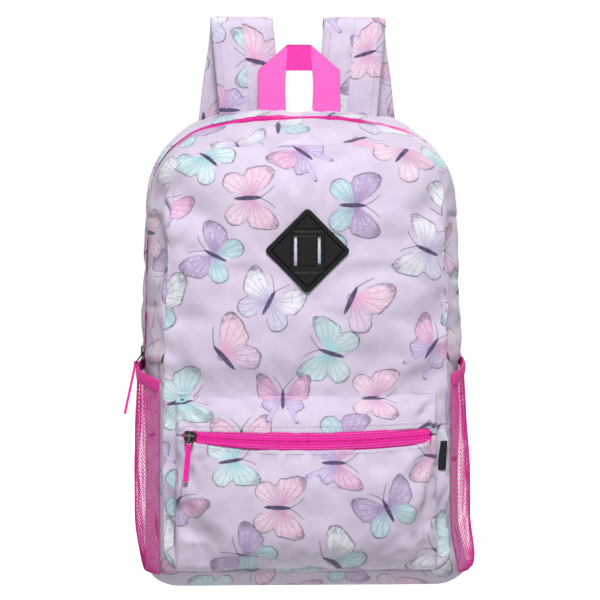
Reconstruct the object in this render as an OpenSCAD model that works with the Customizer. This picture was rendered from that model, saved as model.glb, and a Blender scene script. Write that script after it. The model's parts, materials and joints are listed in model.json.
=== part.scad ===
// School backpack: a printed fabric bag with a zipped main compartment, a zipped front pocket,
// mesh side pockets, padded shoulder straps and a webbing grab handle.
// Millimetres. +Z is up, -Y is the front, and the origin is on the floor under the base.

/* [Body] */
// Height of the back panel's top edge
body_h = 431; // [415:1:445]
// Half of the body's width at the main zip, its widest place
body_hw = 142; // [138:1:146]
// Height of the front panel's top seam
front_h = 393; // [385:1:400]
// Thickness of the fabric shell, with its coating and seam allowance
fabric_t = 1.5; // [1.2:0.1:1.8]
// How far the upper front panel swells forward
front_swell = 13; // [6:1:16]

/* [Front pocket] */
// Half of the pocket's width
pocket_hw = 116; // [114:1:118]
// Height of the pocket's top seam
pocket_h = 176; // [172:1:178]
// How far the pocket zip stands in front of the front panel
pocket_d = 34; // [30:1:38]

/* [Straps and handle] */
// Width of the webbing in the handle and the lower straps
webbing_w = 25; // [20:1:26]
// Width of a padded shoulder strap
strap_w = 57; // [50:1:60]
// Height of the fold where the shoulder straps turn over
strap_top_h = 508; // [500:1:515]
// Height of the grab handle above the top seam
handle_rise = 54; // [50:1:60]

/* [Trim] */
// Side of the square lash patch
patch_side = 52; // [46:1:54]
// Height of the lash patch's centre
patch_z = 299; // [295:1:305]

/* [Hidden] */

lilac = [0.80, 0.75, 0.84];
pink = [0.93, 0.13, 0.62];
black = [0.10, 0.10, 0.11];
gunmetal = [0.35, 0.33, 0.32];
left = -1;
right = 1;
gap = 0.3; // clearance between pieces on different bodies

// Depths of the seams, from the front panel to the back panel
y_front = -48;
y_zip = 12;
y_back = 58;
// Heights along the side: the zip's end, the front's fold line and the shoulder
zip_end_z = 200;
hinge_z = 220;
shoulder_z = 330;
corner_r = 22; // bottom corners
side_taper = 0.035; // how much each side leans in above the zip's end, per mm of height
front_seam_w = 16; // how much narrower the front seam is than the zip, each side
back_seam_w = 4;
front_curl = 26; // depth over which the base curls up to the front seam
back_curl = 14;
front_lift = 15; // height of the base at the front seam
back_lift = 6;

// ---- helpers ----

function mix(a, b, t) = a + (b - a) * t;
function steps(a, b, n) = [for (i = [0:n]) mix(a, b, i / n)];
function flipped(list) = [for (i = [len(list) - 1:-1:0]) list[i]];

// A closed solid between two grids of points, the outer one and the inner one
module thick(outer, inner) {
    rows = len(outer);
    cols = len(outer[0]);
    n = rows * cols;
    points = concat([for (row = outer) each row], [for (row = inner) each row]);
    function at(r, c) = r * cols + c;
    faces = concat(
        [for (r = [0:rows - 2], c = [0:cols - 2]) each
            [[at(r, c), at(r, c + 1), at(r + 1, c + 1)], [at(r, c), at(r + 1, c + 1), at(r + 1, c)]]],
        [for (r = [0:rows - 2], c = [0:cols - 2]) each
            [[n + at(r, c), n + at(r + 1, c + 1), n + at(r, c + 1)],
             [n + at(r, c), n + at(r + 1, c), n + at(r + 1, c + 1)]]],
        [for (c = [0:cols - 2]) each rim(at(0, c), at(0, c + 1), n)],
        [for (c = [0:cols - 2]) each rim(at(rows - 1, c + 1), at(rows - 1, c), n)],
        [for (r = [0:rows - 2]) each rim(at(r + 1, 0), at(r, 0), n)],
        [for (r = [0:rows - 2]) each rim(at(r, cols - 1), at(r + 1, cols - 1), n)]
    );
    polyhedron(points, faces, convexity = 6);
}

function rim(a, b, n) = [[b, a, n + a], [b, n + a, n + b]];

// A flat band swept along stations [centre, half width, half thickness, width direction, thickness direction]
module band(stations) {
    last = len(stations) - 1;
    points = [for (s = stations) each
        [s[0] - s[1] * s[3] - s[2] * s[4], s[0] + s[1] * s[3] - s[2] * s[4],
         s[0] + s[1] * s[3] + s[2] * s[4], s[0] - s[1] * s[3] + s[2] * s[4]]];
    faces = concat(
        [[0, 1, 2], [0, 2, 3]],
        [for (i = [0:last - 1], k = [0:3]) each
            let (a = 4 * i + k, b = 4 * i + (k + 1) % 4) [[a, a + 4, b + 4], [a, b + 4, b]]],
        [[4 * last, 4 * last + 2, 4 * last + 1], [4 * last, 4 * last + 3, 4 * last + 2]]
    );
    polyhedron(points, faces, convexity = 6);
}

// ---- the body's skin ----

// A value that runs from the front seam through the zip to the back seam, rounded like a stuffed bag
function rounded(y, front, zip, back) = y < y_zip
    ? mix(front, zip, sin(90 * (y - y_front) / (y_zip - y_front)))
    : mix(zip, back, 1 - cos(90 * (y - y_zip) / (y_back - y_zip)));
function half_w(y) = rounded(y, body_hw - front_seam_w, body_hw, body_hw - back_seam_w);
function top_z(y) = mix(front_h, body_h, sin(90 * (y - y_front) / (y_back - y_front)));
function base_z(y) = y < y_front + front_curl
    ? front_lift * (1 - sin(90 * (y - y_front) / front_curl))
    : y > y_back - back_curl ? back_lift * (1 - cos(90 * (y - y_back + back_curl) / back_curl)) : 0;
function crown_power(y) = rounded(y, 4.5, 2.5, 2.7);
function side_x(y, z, d = 0) = half_w(y) - d - side_taper * max(0, z - zip_end_z);

// A point on the skin, d inside it. u runs 0 to 6 from the middle of the base, round the bottom
// corner (1 to 2), up the side to the zip's end (3), the fold line (4) and the shoulder (5), and
// over to the middle of the top. A negative u is the same point on the left.
function skin(u, y, d = 0) = let (p = skin_right(abs(u), y, d)) [sign(u) * p[0], y, p[1]];
function skin_right(u, y, d) =
    let (w = half_w(y) - d, r = corner_r - d, base = base_z(y) + d)
    u <= 1 ? [u * (w - r), base]
    : u <= 2 ? [w - r + r * sin(90 * (u - 1)), base + r - r * cos(90 * (u - 1))]
    : u <= 3 ? [w, mix(base + r, zip_end_z, u - 2)]
    : u <= 4 ? let (z = mix(zip_end_z, hinge_z, u - 3)) [side_x(y, z, d), z]
    : u <= 5 ? let (z = mix(hinge_z, shoulder_z, u - 4)) [side_x(y, z, d), z]
    : let (a = 90 * (u - 5), p = 2 / crown_power(y))
      [side_x(y, shoulder_z, d) * pow(max(0, cos(a)), p),
       shoulder_z + (top_z(y) - d - shoulder_z) * pow(max(0, sin(a)), p)];

ys_front = [y_front, -40, -28, -14, 0];
ys_rear = [25, 35, 45, 52, y_back];
zip_edge = 5; // distance of each fabric edge from the zip's centre line
crown_us = [for (i = [1:11]) 5 + i / 12];
// Round the top from the left to the right, starting at u0 on each side
function arch_us(u0) = concat([-u0, -4.5, -5], [for (i = [0:10]) -crown_us[i]], [-6],
                              flipped(crown_us), [5, 4.5, u0]);
root_top_u = 4 - gap / (hinge_z - zip_end_z);

module skin_sheet(us, ys, d0, d1) {
    thick([for (y = ys) [for (u = us) skin(u, y, d0)]], [for (y = ys) [for (u = us) skin(u, y, d1)]]);
}

// ---- back, sides, base and gussets ----

function outline(y, d = 0) =
    let (half = [for (u = concat([1, 1.25, 1.5, 1.75, 2, 3, 5], crown_us)) skin(u, y, d)])
    concat([for (p = half) [p[0], p[2]]], [[0, skin(6, y, d)[2]]], [for (p = flipped(half)) [-p[0], p[2]]]);

// A flat plate of the outline at y, standing between depths y0 and y1
module plate(points, y0, y1) {
    translate([0, y1, 0]) rotate([90, 0, 0]) linear_extrude(height = y1 - y0) polygon(points);
}

back_t = 2;
foam_t = 6.5;
foam_inset = 8;
module back_panel() color(lilac) plate(outline(y_back), y_back, y_back + back_t);
module back_foam() color("gainsboro") plate(outline(y_back, foam_inset), y_back - foam_t, y_back);
module back_lining() color("thistle")
    plate(outline(y_back, foam_inset), y_back - foam_t - fabric_t, y_back - foam_t);

module rear_gusset() color(lilac) skin_sheet(arch_us(3), concat([y_zip + zip_edge], ys_rear), 0, fabric_t);

module front_gusset() color(lilac) skin_sheet(arch_us(4), concat(ys_front, [y_zip - zip_edge]), 0, fabric_t);

module side_panel(side) color(lilac) {
    us = side > 0 ? [3, 2] : [-2, -3];
    tops = side > 0 ? [root_top_u, 3] : [-3, -root_top_u];
    skin_sheet(us, concat(ys_front, [y_zip - zip_edge, y_zip, y_zip + zip_edge], ys_rear), 0, fabric_t);
    skin_sheet(tops, concat(ys_front, [y_zip - zip_edge]), 0, fabric_t);
}
module side_panel_left() side_panel(left);
module side_panel_right() side_panel(right);

module bottom_panel() color(lilac)
    skin_sheet([2, 1.75, 1.5, 1.25, 1, -1, -1.25, -1.5, -1.75, -2],
        [y_front, -42, -34, y_front + front_curl, y_zip, y_back - back_curl, 52, y_back], 0, fabric_t);

// ---- front panel ----

function front_outline_low() =
    let (half = [for (u = [1, 1.25, 1.5, 1.75, 2, 3]) skin(u, y_front)], top = skin(root_top_u, y_front))
    concat([for (p = half) [p[0], p[2]]], [[top[0], top[2]], [-top[0], top[2]]],
           [for (p = flipped(half)) [-p[0], p[2]]]);
module front_panel_lower() color(lilac) plate(front_outline_low(), y_front - fabric_t, y_front);

// The upper front panel swells forward as a dome over its outline, and folds along its lower edge
module front_panel_upper() {
    edge = let (arch = arch_us(4), low = steps(side_x(y_front, hinge_z), -side_x(y_front, hinge_z), 6))
        concat([for (u = arch) let (p = skin(u, y_front)) [p[0], p[2]]], [for (i = [1:5]) [low[i], hinge_z]]);
    middle = [0, 300];
    shrinks = [1, 0.93, 0.8, 0.6, 0.35];
    function dome(k, back) = [for (p = edge)
        let (q = mix(middle, p, shrinks[k])) [q[0], dome_y(shrinks[k]) + back, q[1]]];
    n = len(edge);
    rings = len(shrinks);
    half = n * rings + 1;
    points = concat([for (k = [0:rings - 1]) each dome(k, 0)], [[middle[0], dome_y(0), middle[1]]],
                    [for (k = [0:rings - 1]) each dome(k, fabric_t)],
                    [[middle[0], dome_y(0) + fabric_t, middle[1]]]);
    function id(k, i) = k * n + i % n;
    faces = concat(
        [for (k = [0:rings - 2], i = [0:n - 1]) each
            [[id(k, i), id(k + 1, i), id(k + 1, i + 1)], [id(k, i), id(k + 1, i + 1), id(k, i + 1)]]],
        [for (i = [0:n - 1]) [id(rings - 1, i), n * rings, id(rings - 1, i + 1)]],
        [for (k = [0:rings - 2], i = [0:n - 1]) each
            [[half + id(k, i), half + id(k + 1, i + 1), half + id(k + 1, i)],
             [half + id(k, i), half + id(k, i + 1), half + id(k + 1, i + 1)]]],
        [for (i = [0:n - 1]) [half + id(rings - 1, i), half + id(rings - 1, i + 1), half + n * rings]],
        [for (i = [0:n - 1]) each
            [[id(0, i), id(0, i + 1), half + id(0, i + 1)], [id(0, i), half + id(0, i + 1), half + id(0, i)]]]
    );
    color(lilac) polyhedron(points, faces, convexity = 4);
}
function dome_y(s) = y_front - fabric_t - front_swell * (1 - pow(s, 2.4));

// A moulded patch with a raised border and two slots that a strap can pass through
patch_t = 3;
patch_border = 3.4;
slot_w = 3.4;
slot_l = 27;
slot_x = 10.5;
module lash_patch() color(black) translate([0, dome_y(0) - 0.2, patch_z]) rotate([90, 0, 0]) {
    difference() {
        rounded_square(patch_side, 4, patch_t);
        translate([0, 0, patch_t - 0.9]) rounded_square(patch_side - 2 * patch_border, 1.5, 2);
        for (x = [-slot_x, slot_x])
            translate([x - slot_w / 2, -slot_l / 2, -1]) cube([slot_w, slot_l, patch_t + 2]);
    }
}
// A square plate standing on its corner, with rounded corners
module rounded_square(side, r, height) rotate([0, 0, 45]) {
    inner = side / 2 - r;
    linear_extrude(height = height) square([side, 2 * inner], center = true);
    linear_extrude(height = height) square([2 * inner, side], center = true);
    for (x = [-inner, inner], y = [-inner, inner]) translate([x, y, 0]) cylinder(r = r, h = height, $fn = 48);
}

// ---- main zip ----

coil_in = 0.6; // from the zip's centre line to the teeth
coil_out = 3.2;
tape_out = 12;
tape_t = 0.6;
tape_d = fabric_t; // the tape lies just inside the fabric
coil_d = [0.8, 2.8];
zip_mid_d = tape_d + tape_t / 2;
coil_u = 3.13; // the teeth start above the stops

module main_tape(side, us) color(pink)
    skin_sheet(us, side > 0 ? [y_zip + coil_out, y_zip + zip_edge, y_zip + tape_out]
        : [y_zip - tape_out, y_zip - zip_edge, y_zip - coil_out], tape_d + 0.02, tape_d + tape_t);
module main_coil(side, us) color(pink)
    skin_sheet(us, side > 0 ? [y_zip + coil_in, y_zip + coil_out] : [y_zip - coil_out, y_zip - coil_in],
        coil_d[0], coil_d[1]);

module rear_zip_tape() main_tape(1, arch_us(3));
module rear_zip_coil() main_coil(1, arch_us(coil_u));
module front_zip_tape() main_tape(-1, arch_us(4));
module front_zip_coil() main_coil(-1, arch_us(4));
// The last of the front half stays on the bag below the fold line, where the slider parks
module front_zip_ends() {
    for (us = [[-3, -root_top_u], [root_top_u, 3]]) main_tape(-1, us);
    for (us = [[-coil_u, -root_top_u], [root_top_u, coil_u]]) main_coil(-1, us);
}
// Moulded stops that close both ends of the track
module zip_stops() color(gunmetal) for (side = [left, right])
    translate([side * side_x(y_zip, zip_end_z, zip_mid_d), y_zip, zip_end_z + 1.2])
        cube([2.4, 2 * coil_out - 0.2, 2.0], center = true);

// ---- sliders and pulls ----

slider_l = 11;
slider_hw = 4.5;
plate_lo = 1.3;
plate_t = 1;
bar_z = 4.9; // height of the bridge's bar above the middle of the tape
bar_r = 0.8;
// X across the zip, Y along it and Z out of it, from the middle of the tape
module slider_body() color(gunmetal) {
    for (s = [-1, 1]) translate([0, 0, s * (plate_lo + plate_t / 2)])
        linear_extrude(height = plate_t, center = true) slider_outline();
    for (x = [-1, 1], z = [-1, 1]) translate([x * (slider_hw - 0.45), 0, z * 1.05])
        cube([0.9, slider_l - 4, 1.0], center = true);
    translate([-0.35, 1.6, -plate_lo - 0.1]) cube([0.7, 3, 2 * plate_lo + 0.2]);
    for (y = [-3.6, 3.6]) translate([0, y, plate_lo + plate_t - 0.1])
        cylinder(r = bar_r, h = bar_z - plate_lo - plate_t + 0.1, $fn = 24);
    translate([0, 0, bar_z]) rotate([90, 0, 0])
        cylinder(r = bar_r, h = 7.2 + 2 * bar_r, center = true, $fn = 24);
}
module slider_outline() {
    w = slider_hw;
    l = slider_l / 2;
    polygon([[-w, -l + 1], [-w + 1, -l], [w - 1, -l], [w, -l + 1],
             [w, l - 3], [w - 2, l], [-w + 2, l], [-w, l - 3]]);
}

// The main pull is a wire frame whose top bar passes under the bridge
wire_r = 0.6;
frame_hw = 3.2;
tab_l = 12;
tab_pivot_z = 3.2; // height of the top bar above the tape
tab_pivot_y = -1.4;
module wire(a, b) {
    v = b - a;
    translate(a) rotate([0, acos(v[2] / norm(v)), atan2(v[1], v[0])])
        cylinder(r = wire_r, h = norm(v), $fn = 20);
}
module pull_frame() color(gunmetal) {
    wire([-frame_hw, 0, 0], [frame_hw, 0, 0]);
    wire([-frame_hw, -tab_l, 0], [frame_hw, -tab_l, 0]);
    for (x = [-frame_hw, frame_hw]) {
        wire([x, 0, 0], [x, -tab_l, 0]);
        for (y = [0, -tab_l]) translate([x, y, 0]) sphere(r = wire_r, $fn = 20);
    }
}

// A doubled ribbon that loops round the end bar of a pull. Its own origin is on that bar.
main_ribbon_l = 47;
pocket_ribbon_l = 31;
ribbon_hw = 2.1;
ribbon_t = 2.2;
module pull_ribbon(length) color(pink) difference() {
    union() {
        rotate([0, 90, 0]) cylinder(r = 1.9, h = 2 * ribbon_hw, center = true, $fn = 32);
        translate([-ribbon_hw, -length, -ribbon_t / 2]) cube([2 * ribbon_hw, length, ribbon_t]);
    }
    rotate([0, 90, 0]) cylinder(r = wire_r + 0.15, h = 3 * ribbon_hw, center = true, $fn = 32);
}

main_park_z = 209;
side_lean = atan(side_taper);
main_pull_tilt = 34; // how far the pull hangs out from the side, over the mesh pocket's band
main_ribbon_tilt = 24; // how far the ribbon turns back down from the pull
module at_main_slider() translate([-side_x(y_zip, main_park_z, zip_mid_d), y_zip, main_park_z])
    rotate([0, side_lean, 0]) rotate([0, 0, -90]) rotate([90, 0, 0]) children();
module at_main_tab() at_main_slider() translate([0, tab_pivot_y, tab_pivot_z])
    rotate([-main_pull_tilt, 0, 0]) children();
module main_slider() at_main_slider() slider_body();
module main_pull_tab() at_main_tab() pull_frame();
module main_pull_ribbon() at_main_tab() translate([0, -tab_l, 0])
    rotate([main_ribbon_tilt, 0, 0]) pull_ribbon(main_ribbon_l);

// ---- front pocket zip: an arc about a tilted axis behind the bag ----

arc_r = 330;
arc_tilt = 15;
arc_z = 132;
tape_lean = 22; // the tape's own lean against the arc's axis
pocket_tape_hw = 7;
arc_mid_y = y_front - fabric_t - pocket_d;
arc_centre = [0, arc_mid_y + arc_r * cos(arc_tilt), arc_z + arc_r * sin(arc_tilt)];
mouth_x = 95; // the part of the pocket's mouth that lifts
zip_x = 109; // where the zip's tape ends, each side
mouth_a = asin(mouth_x / arc_r);
zip_a = asin((zip_x - 1) / arc_r);
park_a = asin(102.5 / arc_r);
mouth_gap_a = gap / arc_r * 57.3;

function arc_point(a, r, h) = arc_centre +
    [r * sin(a), -r * cos(a) * cos(arc_tilt) - h * sin(arc_tilt),
     -r * cos(a) * sin(arc_tilt) + h * cos(arc_tilt)];
// A point of the tape's cross section: w across the tape, upwards, and out from its middle plane
function section(w, out) =
    [arc_r - w * sin(tape_lean) + out * cos(tape_lean), w * cos(tape_lean) + out * sin(tape_lean)];
function tape_point(a, w, out) = let (s = section(w, out)) arc_point(a, s[0], s[1]);

module zip_frame() translate(arc_centre) rotate([arc_tilt, 0, 0]) rotate([0, 0, -90]) children();
// A strip of the pocket zip with the cross section w0 to w1 by o0 to o1, from angle a0 to a1
module zip_strip(w0, w1, o0, o1, a0, a1) color(pink) zip_frame() rotate([0, 0, a0])
    rotate_extrude(angle = a1 - a0, $fn = 360)
        polygon([section(w0, o0), section(w1, o0), section(w1, o1), section(w0, o1)]);
module zip_half_tape(side, a0, a1)
    zip_strip(side * coil_out, side * pocket_tape_hw, -tape_t / 2, tape_t / 2, a0, a1);
module zip_half_coil(side, a0, a1) zip_strip(side * coil_in, side * coil_out, -1, 1, a0, a1);

module pocket_tape_lower() zip_half_tape(-1, -zip_a, zip_a);
module pocket_coil_lower() zip_half_coil(-1, -zip_a, zip_a);
module pocket_tape_upper() zip_half_tape(1, -mouth_a, mouth_a);
module pocket_coil_upper() zip_half_coil(1, -mouth_a, mouth_a);
// The ends of the upper half stay on the bag, where the slider parks and where it stops
module pocket_tape_ends() for (s = [-1, 1]) {
    a = s * (mouth_a + mouth_gap_a);
    zip_half_tape(1, min(a, s * zip_a), max(a, s * zip_a));
    zip_half_coil(1, min(a, s * zip_a), max(a, s * zip_a));
}

module at_pocket_slider() zip_frame() rotate([0, 0, -park_a]) translate([arc_r, 0, 0])
    rotate([0, 90 - tape_lean, 0]) children();
module pocket_slider() at_pocket_slider() slider_body();

// The pocket's pull has an eye round the bridge's bar, so that it hangs across the zip
eye_r = 1.85;
hang_l = 9;
module hanging_tab() color(gunmetal) {
    difference() {
        union() {
            rotate([90, 0, 0]) cylinder(r = eye_r, h = 1.6, center = true, $fn = 32);
            translate([0.6, -0.8, -0.5]) cube([hang_l - 4, 1.6, 1]);
        }
        rotate([90, 0, 0]) cylinder(r = bar_r + 0.15, h = 4, center = true, $fn = 32);
    }
    translate([hang_l - 4, -frame_hw, -0.5]) cube([1.2, 2 * frame_hw, 1]);
    for (y = [-frame_hw, frame_hw]) translate([hang_l - 4, y - wire_r, -0.5]) cube([4, 2 * wire_r, 1]);
    translate([hang_l, 0, 0]) rotate([90, 0, 0])
        cylinder(r = wire_r, h = 2 * frame_hw + 2 * wire_r, center = true, $fn = 24);
}
module at_hanging_tab() at_pocket_slider() translate([0, 0, bar_z]) rotate([0, hang_angle, 0]) children();
hang_angle = tape_lean - arc_tilt - 2; // turns the pull from the tape's own plane to near the vertical
module pocket_pull_tab() at_hanging_tab() hanging_tab();
module pocket_pull_ribbon() at_hanging_tab() translate([hang_l, 0, 0])
    rotate([0, 0, 90]) pull_ribbon(pocket_ribbon_l);

// ---- front pocket fabric ----

pocket_foot_z = 13;
panel_y = y_front - fabric_t;
belly = 3;
seam_hw = pocket_tape_hw + 0.1; // the fabric meets the tape here, each side of the zip's centre
// How far along the rounded ends of the pocket x is: 0 at the zip's end and 1 at the side seam
function round_end(x) = max(0, (abs(x) - zip_x) / (pocket_hw - zip_x));
// The fabric's edge along the zip, below it (w < 0) or above it. Beyond the zip the two edges meet.
function zip_edge_point(x, w) =
    let (t = round_end(x), p = tape_point(asin(min(abs(x), zip_x) / arc_r), t > 0 ? 0.05 * sign(w) : w, 0))
    [x, mix(panel_y, p[1], sqrt(max(0, 1 - t * t))), p[2]];
// Shrinks the pocket's ends and depth, for the inner side of the wall
function inset_x(x, d) = x - sign(x) * d * round_end(x);
function inset_depth(x, deep, d) = deep * (1 - d / (panel_y - zip_edge_point(min(abs(x), zip_x), 1)[1]));
// Down the pocket's face from the zip (v = 0) to the foot seam (v = 1)
function face_point(x, v, d) =
    let (edge = zip_edge_point(x, -seam_hw), full = pow(max(0, 1 - pow(v, 3.4)), 1 / 3.4),
         out = inset_depth(x, panel_y - edge[1], d) * full
             + belly * sin(180 * v) * max(0, 1 - pow(x / (zip_x - 2), 4)))
    [inset_x(x, d), panel_y - out, mix(edge[2], pocket_foot_z + d, v)];
// Up the fabric over the zip, from the zip (v = 0) to the top seam (v = 1)
function over_point(x, v, d) =
    let (edge = zip_edge_point(x, seam_hw), deep = panel_y - edge[1])
    [inset_x(x, d), panel_y - inset_depth(x, deep, d) * (1 - v * v),
     mix(edge[2], pocket_h - d, v) + 0.1 * deep * sin(180 * v)];
// The part that lifts is hinged just clear of the panel
hinge_clear = 0.5;
mouth_t = 2;
mouth_hinge_y = panel_y - hinge_clear - mouth_t / 2;
function mouth_point(x, v, d) =
    let (edge = zip_edge_point(x, seam_hw), top_y = panel_y - hinge_clear - mouth_t)
    [x, mix(edge[1], top_y, v * v) + d, mix(edge[2], pocket_h, v) + 0.1 * (panel_y - edge[1]) * sin(180 * v)];

end_xs = [zip_x, zip_x + 0.4, zip_x + 2.5, zip_x + 4.5, zip_x + 6, pocket_hw];
module pocket_front() color(lilac) {
    vs = [0, 0.15, 0.35, 0.55, 0.72, 0.85, 0.93, 0.98, 1];
    middle_xs = [for (i = [1:15]) mix(-zip_x, zip_x, i / 16)];
    xs = flipped(concat([for (x = flipped(end_xs)) -x], middle_xs, end_xs));
    thick([for (v = vs) [for (x = xs) face_point(x, v, 0)]],
          [for (v = vs) [for (x = xs) face_point(x, v, fabric_t)]]);
}

over_vs = [0, 0.2, 0.4, 0.6, 0.8, 1];
module pocket_mouth_strip() color(lilac) {
    xs = steps(-mouth_x, mouth_x, 12);
    thick([for (v = over_vs) [for (x = xs) mouth_point(x, v, 0)]],
          [for (v = over_vs) [for (x = xs) mouth_point(x, v, mouth_t)]]);
}
module pocket_end(side) color(lilac) {
    half = concat([mouth_x + gap, mix(mouth_x, zip_x, 0.5)], end_xs);
    xs = side > 0 ? half : [for (x = flipped(half)) -x];
    thick([for (v = over_vs) [for (x = xs) over_point(x, v, 0)]],
          [for (v = over_vs) [for (x = xs) over_point(x, v, fabric_t)]]);
}
module pocket_end_left() pocket_end(left);
module pocket_end_right() pocket_end(right);

// ---- mesh side pockets ----

mesh_ys = [-40, -28, -14, 0, 7, y_zip, 17, 25, 35, 45, 52];
mesh_foot_z = 26;
mesh_t = 0.9;
elastic_h = 11;
elastic_t = 1.8;
function mesh_top(y) = 169 + 26 * (y + 40) / 92;
// How far the pocket stands off the side: at the band, and how much more it sags out below it
band_off = 5.2;
function band_bulge(side) = side < 0 ? band_off : band_off + 3;
function sag_bulge(side) = side < 0 ? 6 : 14;
function mesh_bulge(side, y, v) = pow(max(0, sin(180 * (y + 40) / 92)), 0.8)
    * (band_bulge(side) * v + sag_bulge(side) * max(0, sin(180 * pow(v, 0.7))));
function mesh_point(side, y, v, out) = let (z = mix(mesh_foot_z, mesh_top(y), v))
    [side * (side_x(y, z) + mesh_bulge(side, y, v) + out), y, z];
function elastic_point(side, y, v, out) = let (z = mesh_top(y) + elastic_h * v)
    [side * (side_x(y, z) + mesh_bulge(side, y, 1) + out), y, z];

module side_sheet(side, grid_out, grid_in) {
    if (side > 0) thick(grid_out, grid_in);
    else thick(flipped(grid_out), flipped(grid_in));
}
module mesh_pocket(side) color(pink) {
    vs = [0, 0.1, 0.25, 0.45, 0.65, 0.85, 1];
    side_sheet(side, [for (v = vs) [for (y = mesh_ys) mesh_point(side, y, v, mesh_t)]],
                     [for (v = vs) [for (y = mesh_ys) mesh_point(side, y, v, 0)]]);
}
module mesh_pocket_left() mesh_pocket(left);
module mesh_pocket_right() mesh_pocket(right);
module elastic(side) color(pink)
    side_sheet(side, [for (v = [0, 1]) [for (y = mesh_ys) elastic_point(side, y, v, elastic_t)]],
                     [for (v = [0, 1]) [for (y = mesh_ys) elastic_point(side, y, v, 0)]]);
module elastic_left() elastic(left);
module elastic_right() elastic(right);

// A folded woven label caught in the pocket's side seam
module side_label() color(black)
    translate([pocket_hw + 1.2, panel_y - 1.2, 104]) rotate([0, 0, -8]) cube([8, 1.2, 26]);

// ---- grab handle ----

handle_y = 53.5;
handle_t = 1.5;
handle_z = 432.6; // the line it bends about, just above the top seam
handle_lean = 2.5; // it leans back a little, against the straps
inner_hw = 12.5;
outer_hw = inner_hw + webbing_w;
// Two upright legs, folded over at 45 degrees into a cross piece behind them
module grab_handle() color(pink)
    translate([0, handle_y, handle_z]) rotate([-handle_lean, 0, 0]) rotate([90, 0, 0]) {
        leg = [[inner_hw, 0], [outer_hw, 0], [outer_hw, handle_rise - 22],
               [inner_hw + 2, handle_rise], [inner_hw, handle_rise]];
        for (s = [-1, 1]) linear_extrude(height = handle_t) polygon([for (p = leg) [s * p[0], p[1]]]);
        translate([0, 0, -handle_t]) linear_extrude(height = handle_t)
            polygon([[-outer_hw + 1.5, handle_rise - 21], [-inner_hw - 3, handle_rise - 22.5],
                     [inner_hw + 3, handle_rise - 22.5], [outer_hw - 1.5, handle_rise - 21],
                     [inner_hw + 2, handle_rise], [-inner_hw - 2, handle_rise]]);
    }

// ---- shoulder straps ----

pad_t = 8;
fold_y = 70;
fold_r = 8; // radius of the pad's middle round the fold
fold_z = strap_top_h - fold_r - pad_t / 2;
strap_hw = strap_w / 2;
// The strap's middle at a height: the front leg leans out as it rises, the rear leg as it falls
function front_leg_x(z) = mix(44, 52, (z - 424) / (strap_top_h - 424));
x_dir = [1, 0, 0];
function front_station(side, z, y, t) = [[side * front_leg_x(z), y, z], strap_hw, t / 2, x_dir, [0, 1, 0]];
function fold_station(side, a) = [[side * 52, fold_y - fold_r * cos(a), fold_z + fold_r * sin(a)],
    strap_hw, pad_t / 2, x_dir, [0, cos(a), -sin(a)]];

strap_foot_z = 412;
foot_y = y_back + back_t + 2.1; // the strap's foot is sewn behind the back panel's top
module strap_base(side) color(lilac) {
    tops = [for (a = [0:18:72]) fold_station(side, a)];
    end = [[side * 52, fold_y - gap / 2, fold_z + fold_r], strap_hw, pad_t / 2, x_dir, [0, 0, -1]];
    legs = [front_station(side, strap_foot_z, foot_y, 4), front_station(side, 432, foot_y, 4),
            front_station(side, 445, 62.2, 7), front_station(side, 470, fold_y - fold_r, pad_t)];
    band(concat(legs, tops, [end]));
}
module strap_base_left() strap_base(left);
module strap_base_right() strap_base(right);

// Stations down the rear leg: x, y, z, half width
rear_leg = [
    [54, 78.5, 485, 28.5], [58, 81, 460, 28.5], [62, 84, 425, 28.5], [68, 88, 385, 28.5],
    [75, 91, 340, 29], [80, 92, 300, 28.5], [85, 90, 262, 26], [88, 86.5, 232, 21], [89.5, 84, 214, 15]
];
function rear_tilt(i) = let (a = rear_leg[max(0, i - 1)], b = rear_leg[min(len(rear_leg) - 1, i + 1)],
    v = [a[1] - b[1], a[2] - b[2]]) [0, v[1], -v[0]] / norm(v);
module shoulder_strap(side) color(lilac) {
    start = [[side * 52, fold_y + gap / 2, fold_z + fold_r], strap_hw, pad_t / 2, x_dir, [0, 0, -1]];
    turn = [for (a = [108:18:180]) fold_station(side, a)];
    leg = [for (i = [0:len(rear_leg) - 1]) let (s = rear_leg[i])
        [[side * s[0], s[1], s[2]], s[3], (i == len(rear_leg) - 1 ? 3.2 : pad_t) / 2, x_dir, -rear_tilt(i)]];
    band(concat([start], turn, leg));
}
module shoulder_strap_left() shoulder_strap(left);
module shoulder_strap_right() shoulder_strap(right);

// The ladder lock hangs from the strap's end. Its own X is across, Z is up, Y is out from the back.
lock_z = 196;
lock_y = 84;
lock_x = 91;
lock_hw = webbing_w / 2 + 4;
lock_hl = 13;
slot_h = 4.4;
module at_lock(side) translate([side * lock_x, lock_y, lock_z]) children();
module ladder_lock(side) color(black) at_lock(side) difference() {
    rotate([90, 0, 0]) linear_extrude(height = 4, center = true)
        polygon([[-lock_hw + 3, -lock_hl], [lock_hw - 3, -lock_hl],
                 [lock_hw, -lock_hl + 5], [lock_hw, lock_hl - 2],
                 [lock_hw - 2, lock_hl], [-lock_hw + 2, lock_hl],
                 [-lock_hw, lock_hl - 2], [-lock_hw, -lock_hl + 5]]);
    for (z = [5.6, -2.4, -10.6]) translate([-webbing_w / 2 - 0.5, -5, z]) cube([webbing_w + 1, 10, slot_h]);
}
module ladder_lock_left() ladder_lock(left);
module ladder_lock_right() ladder_lock(right);

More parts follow.
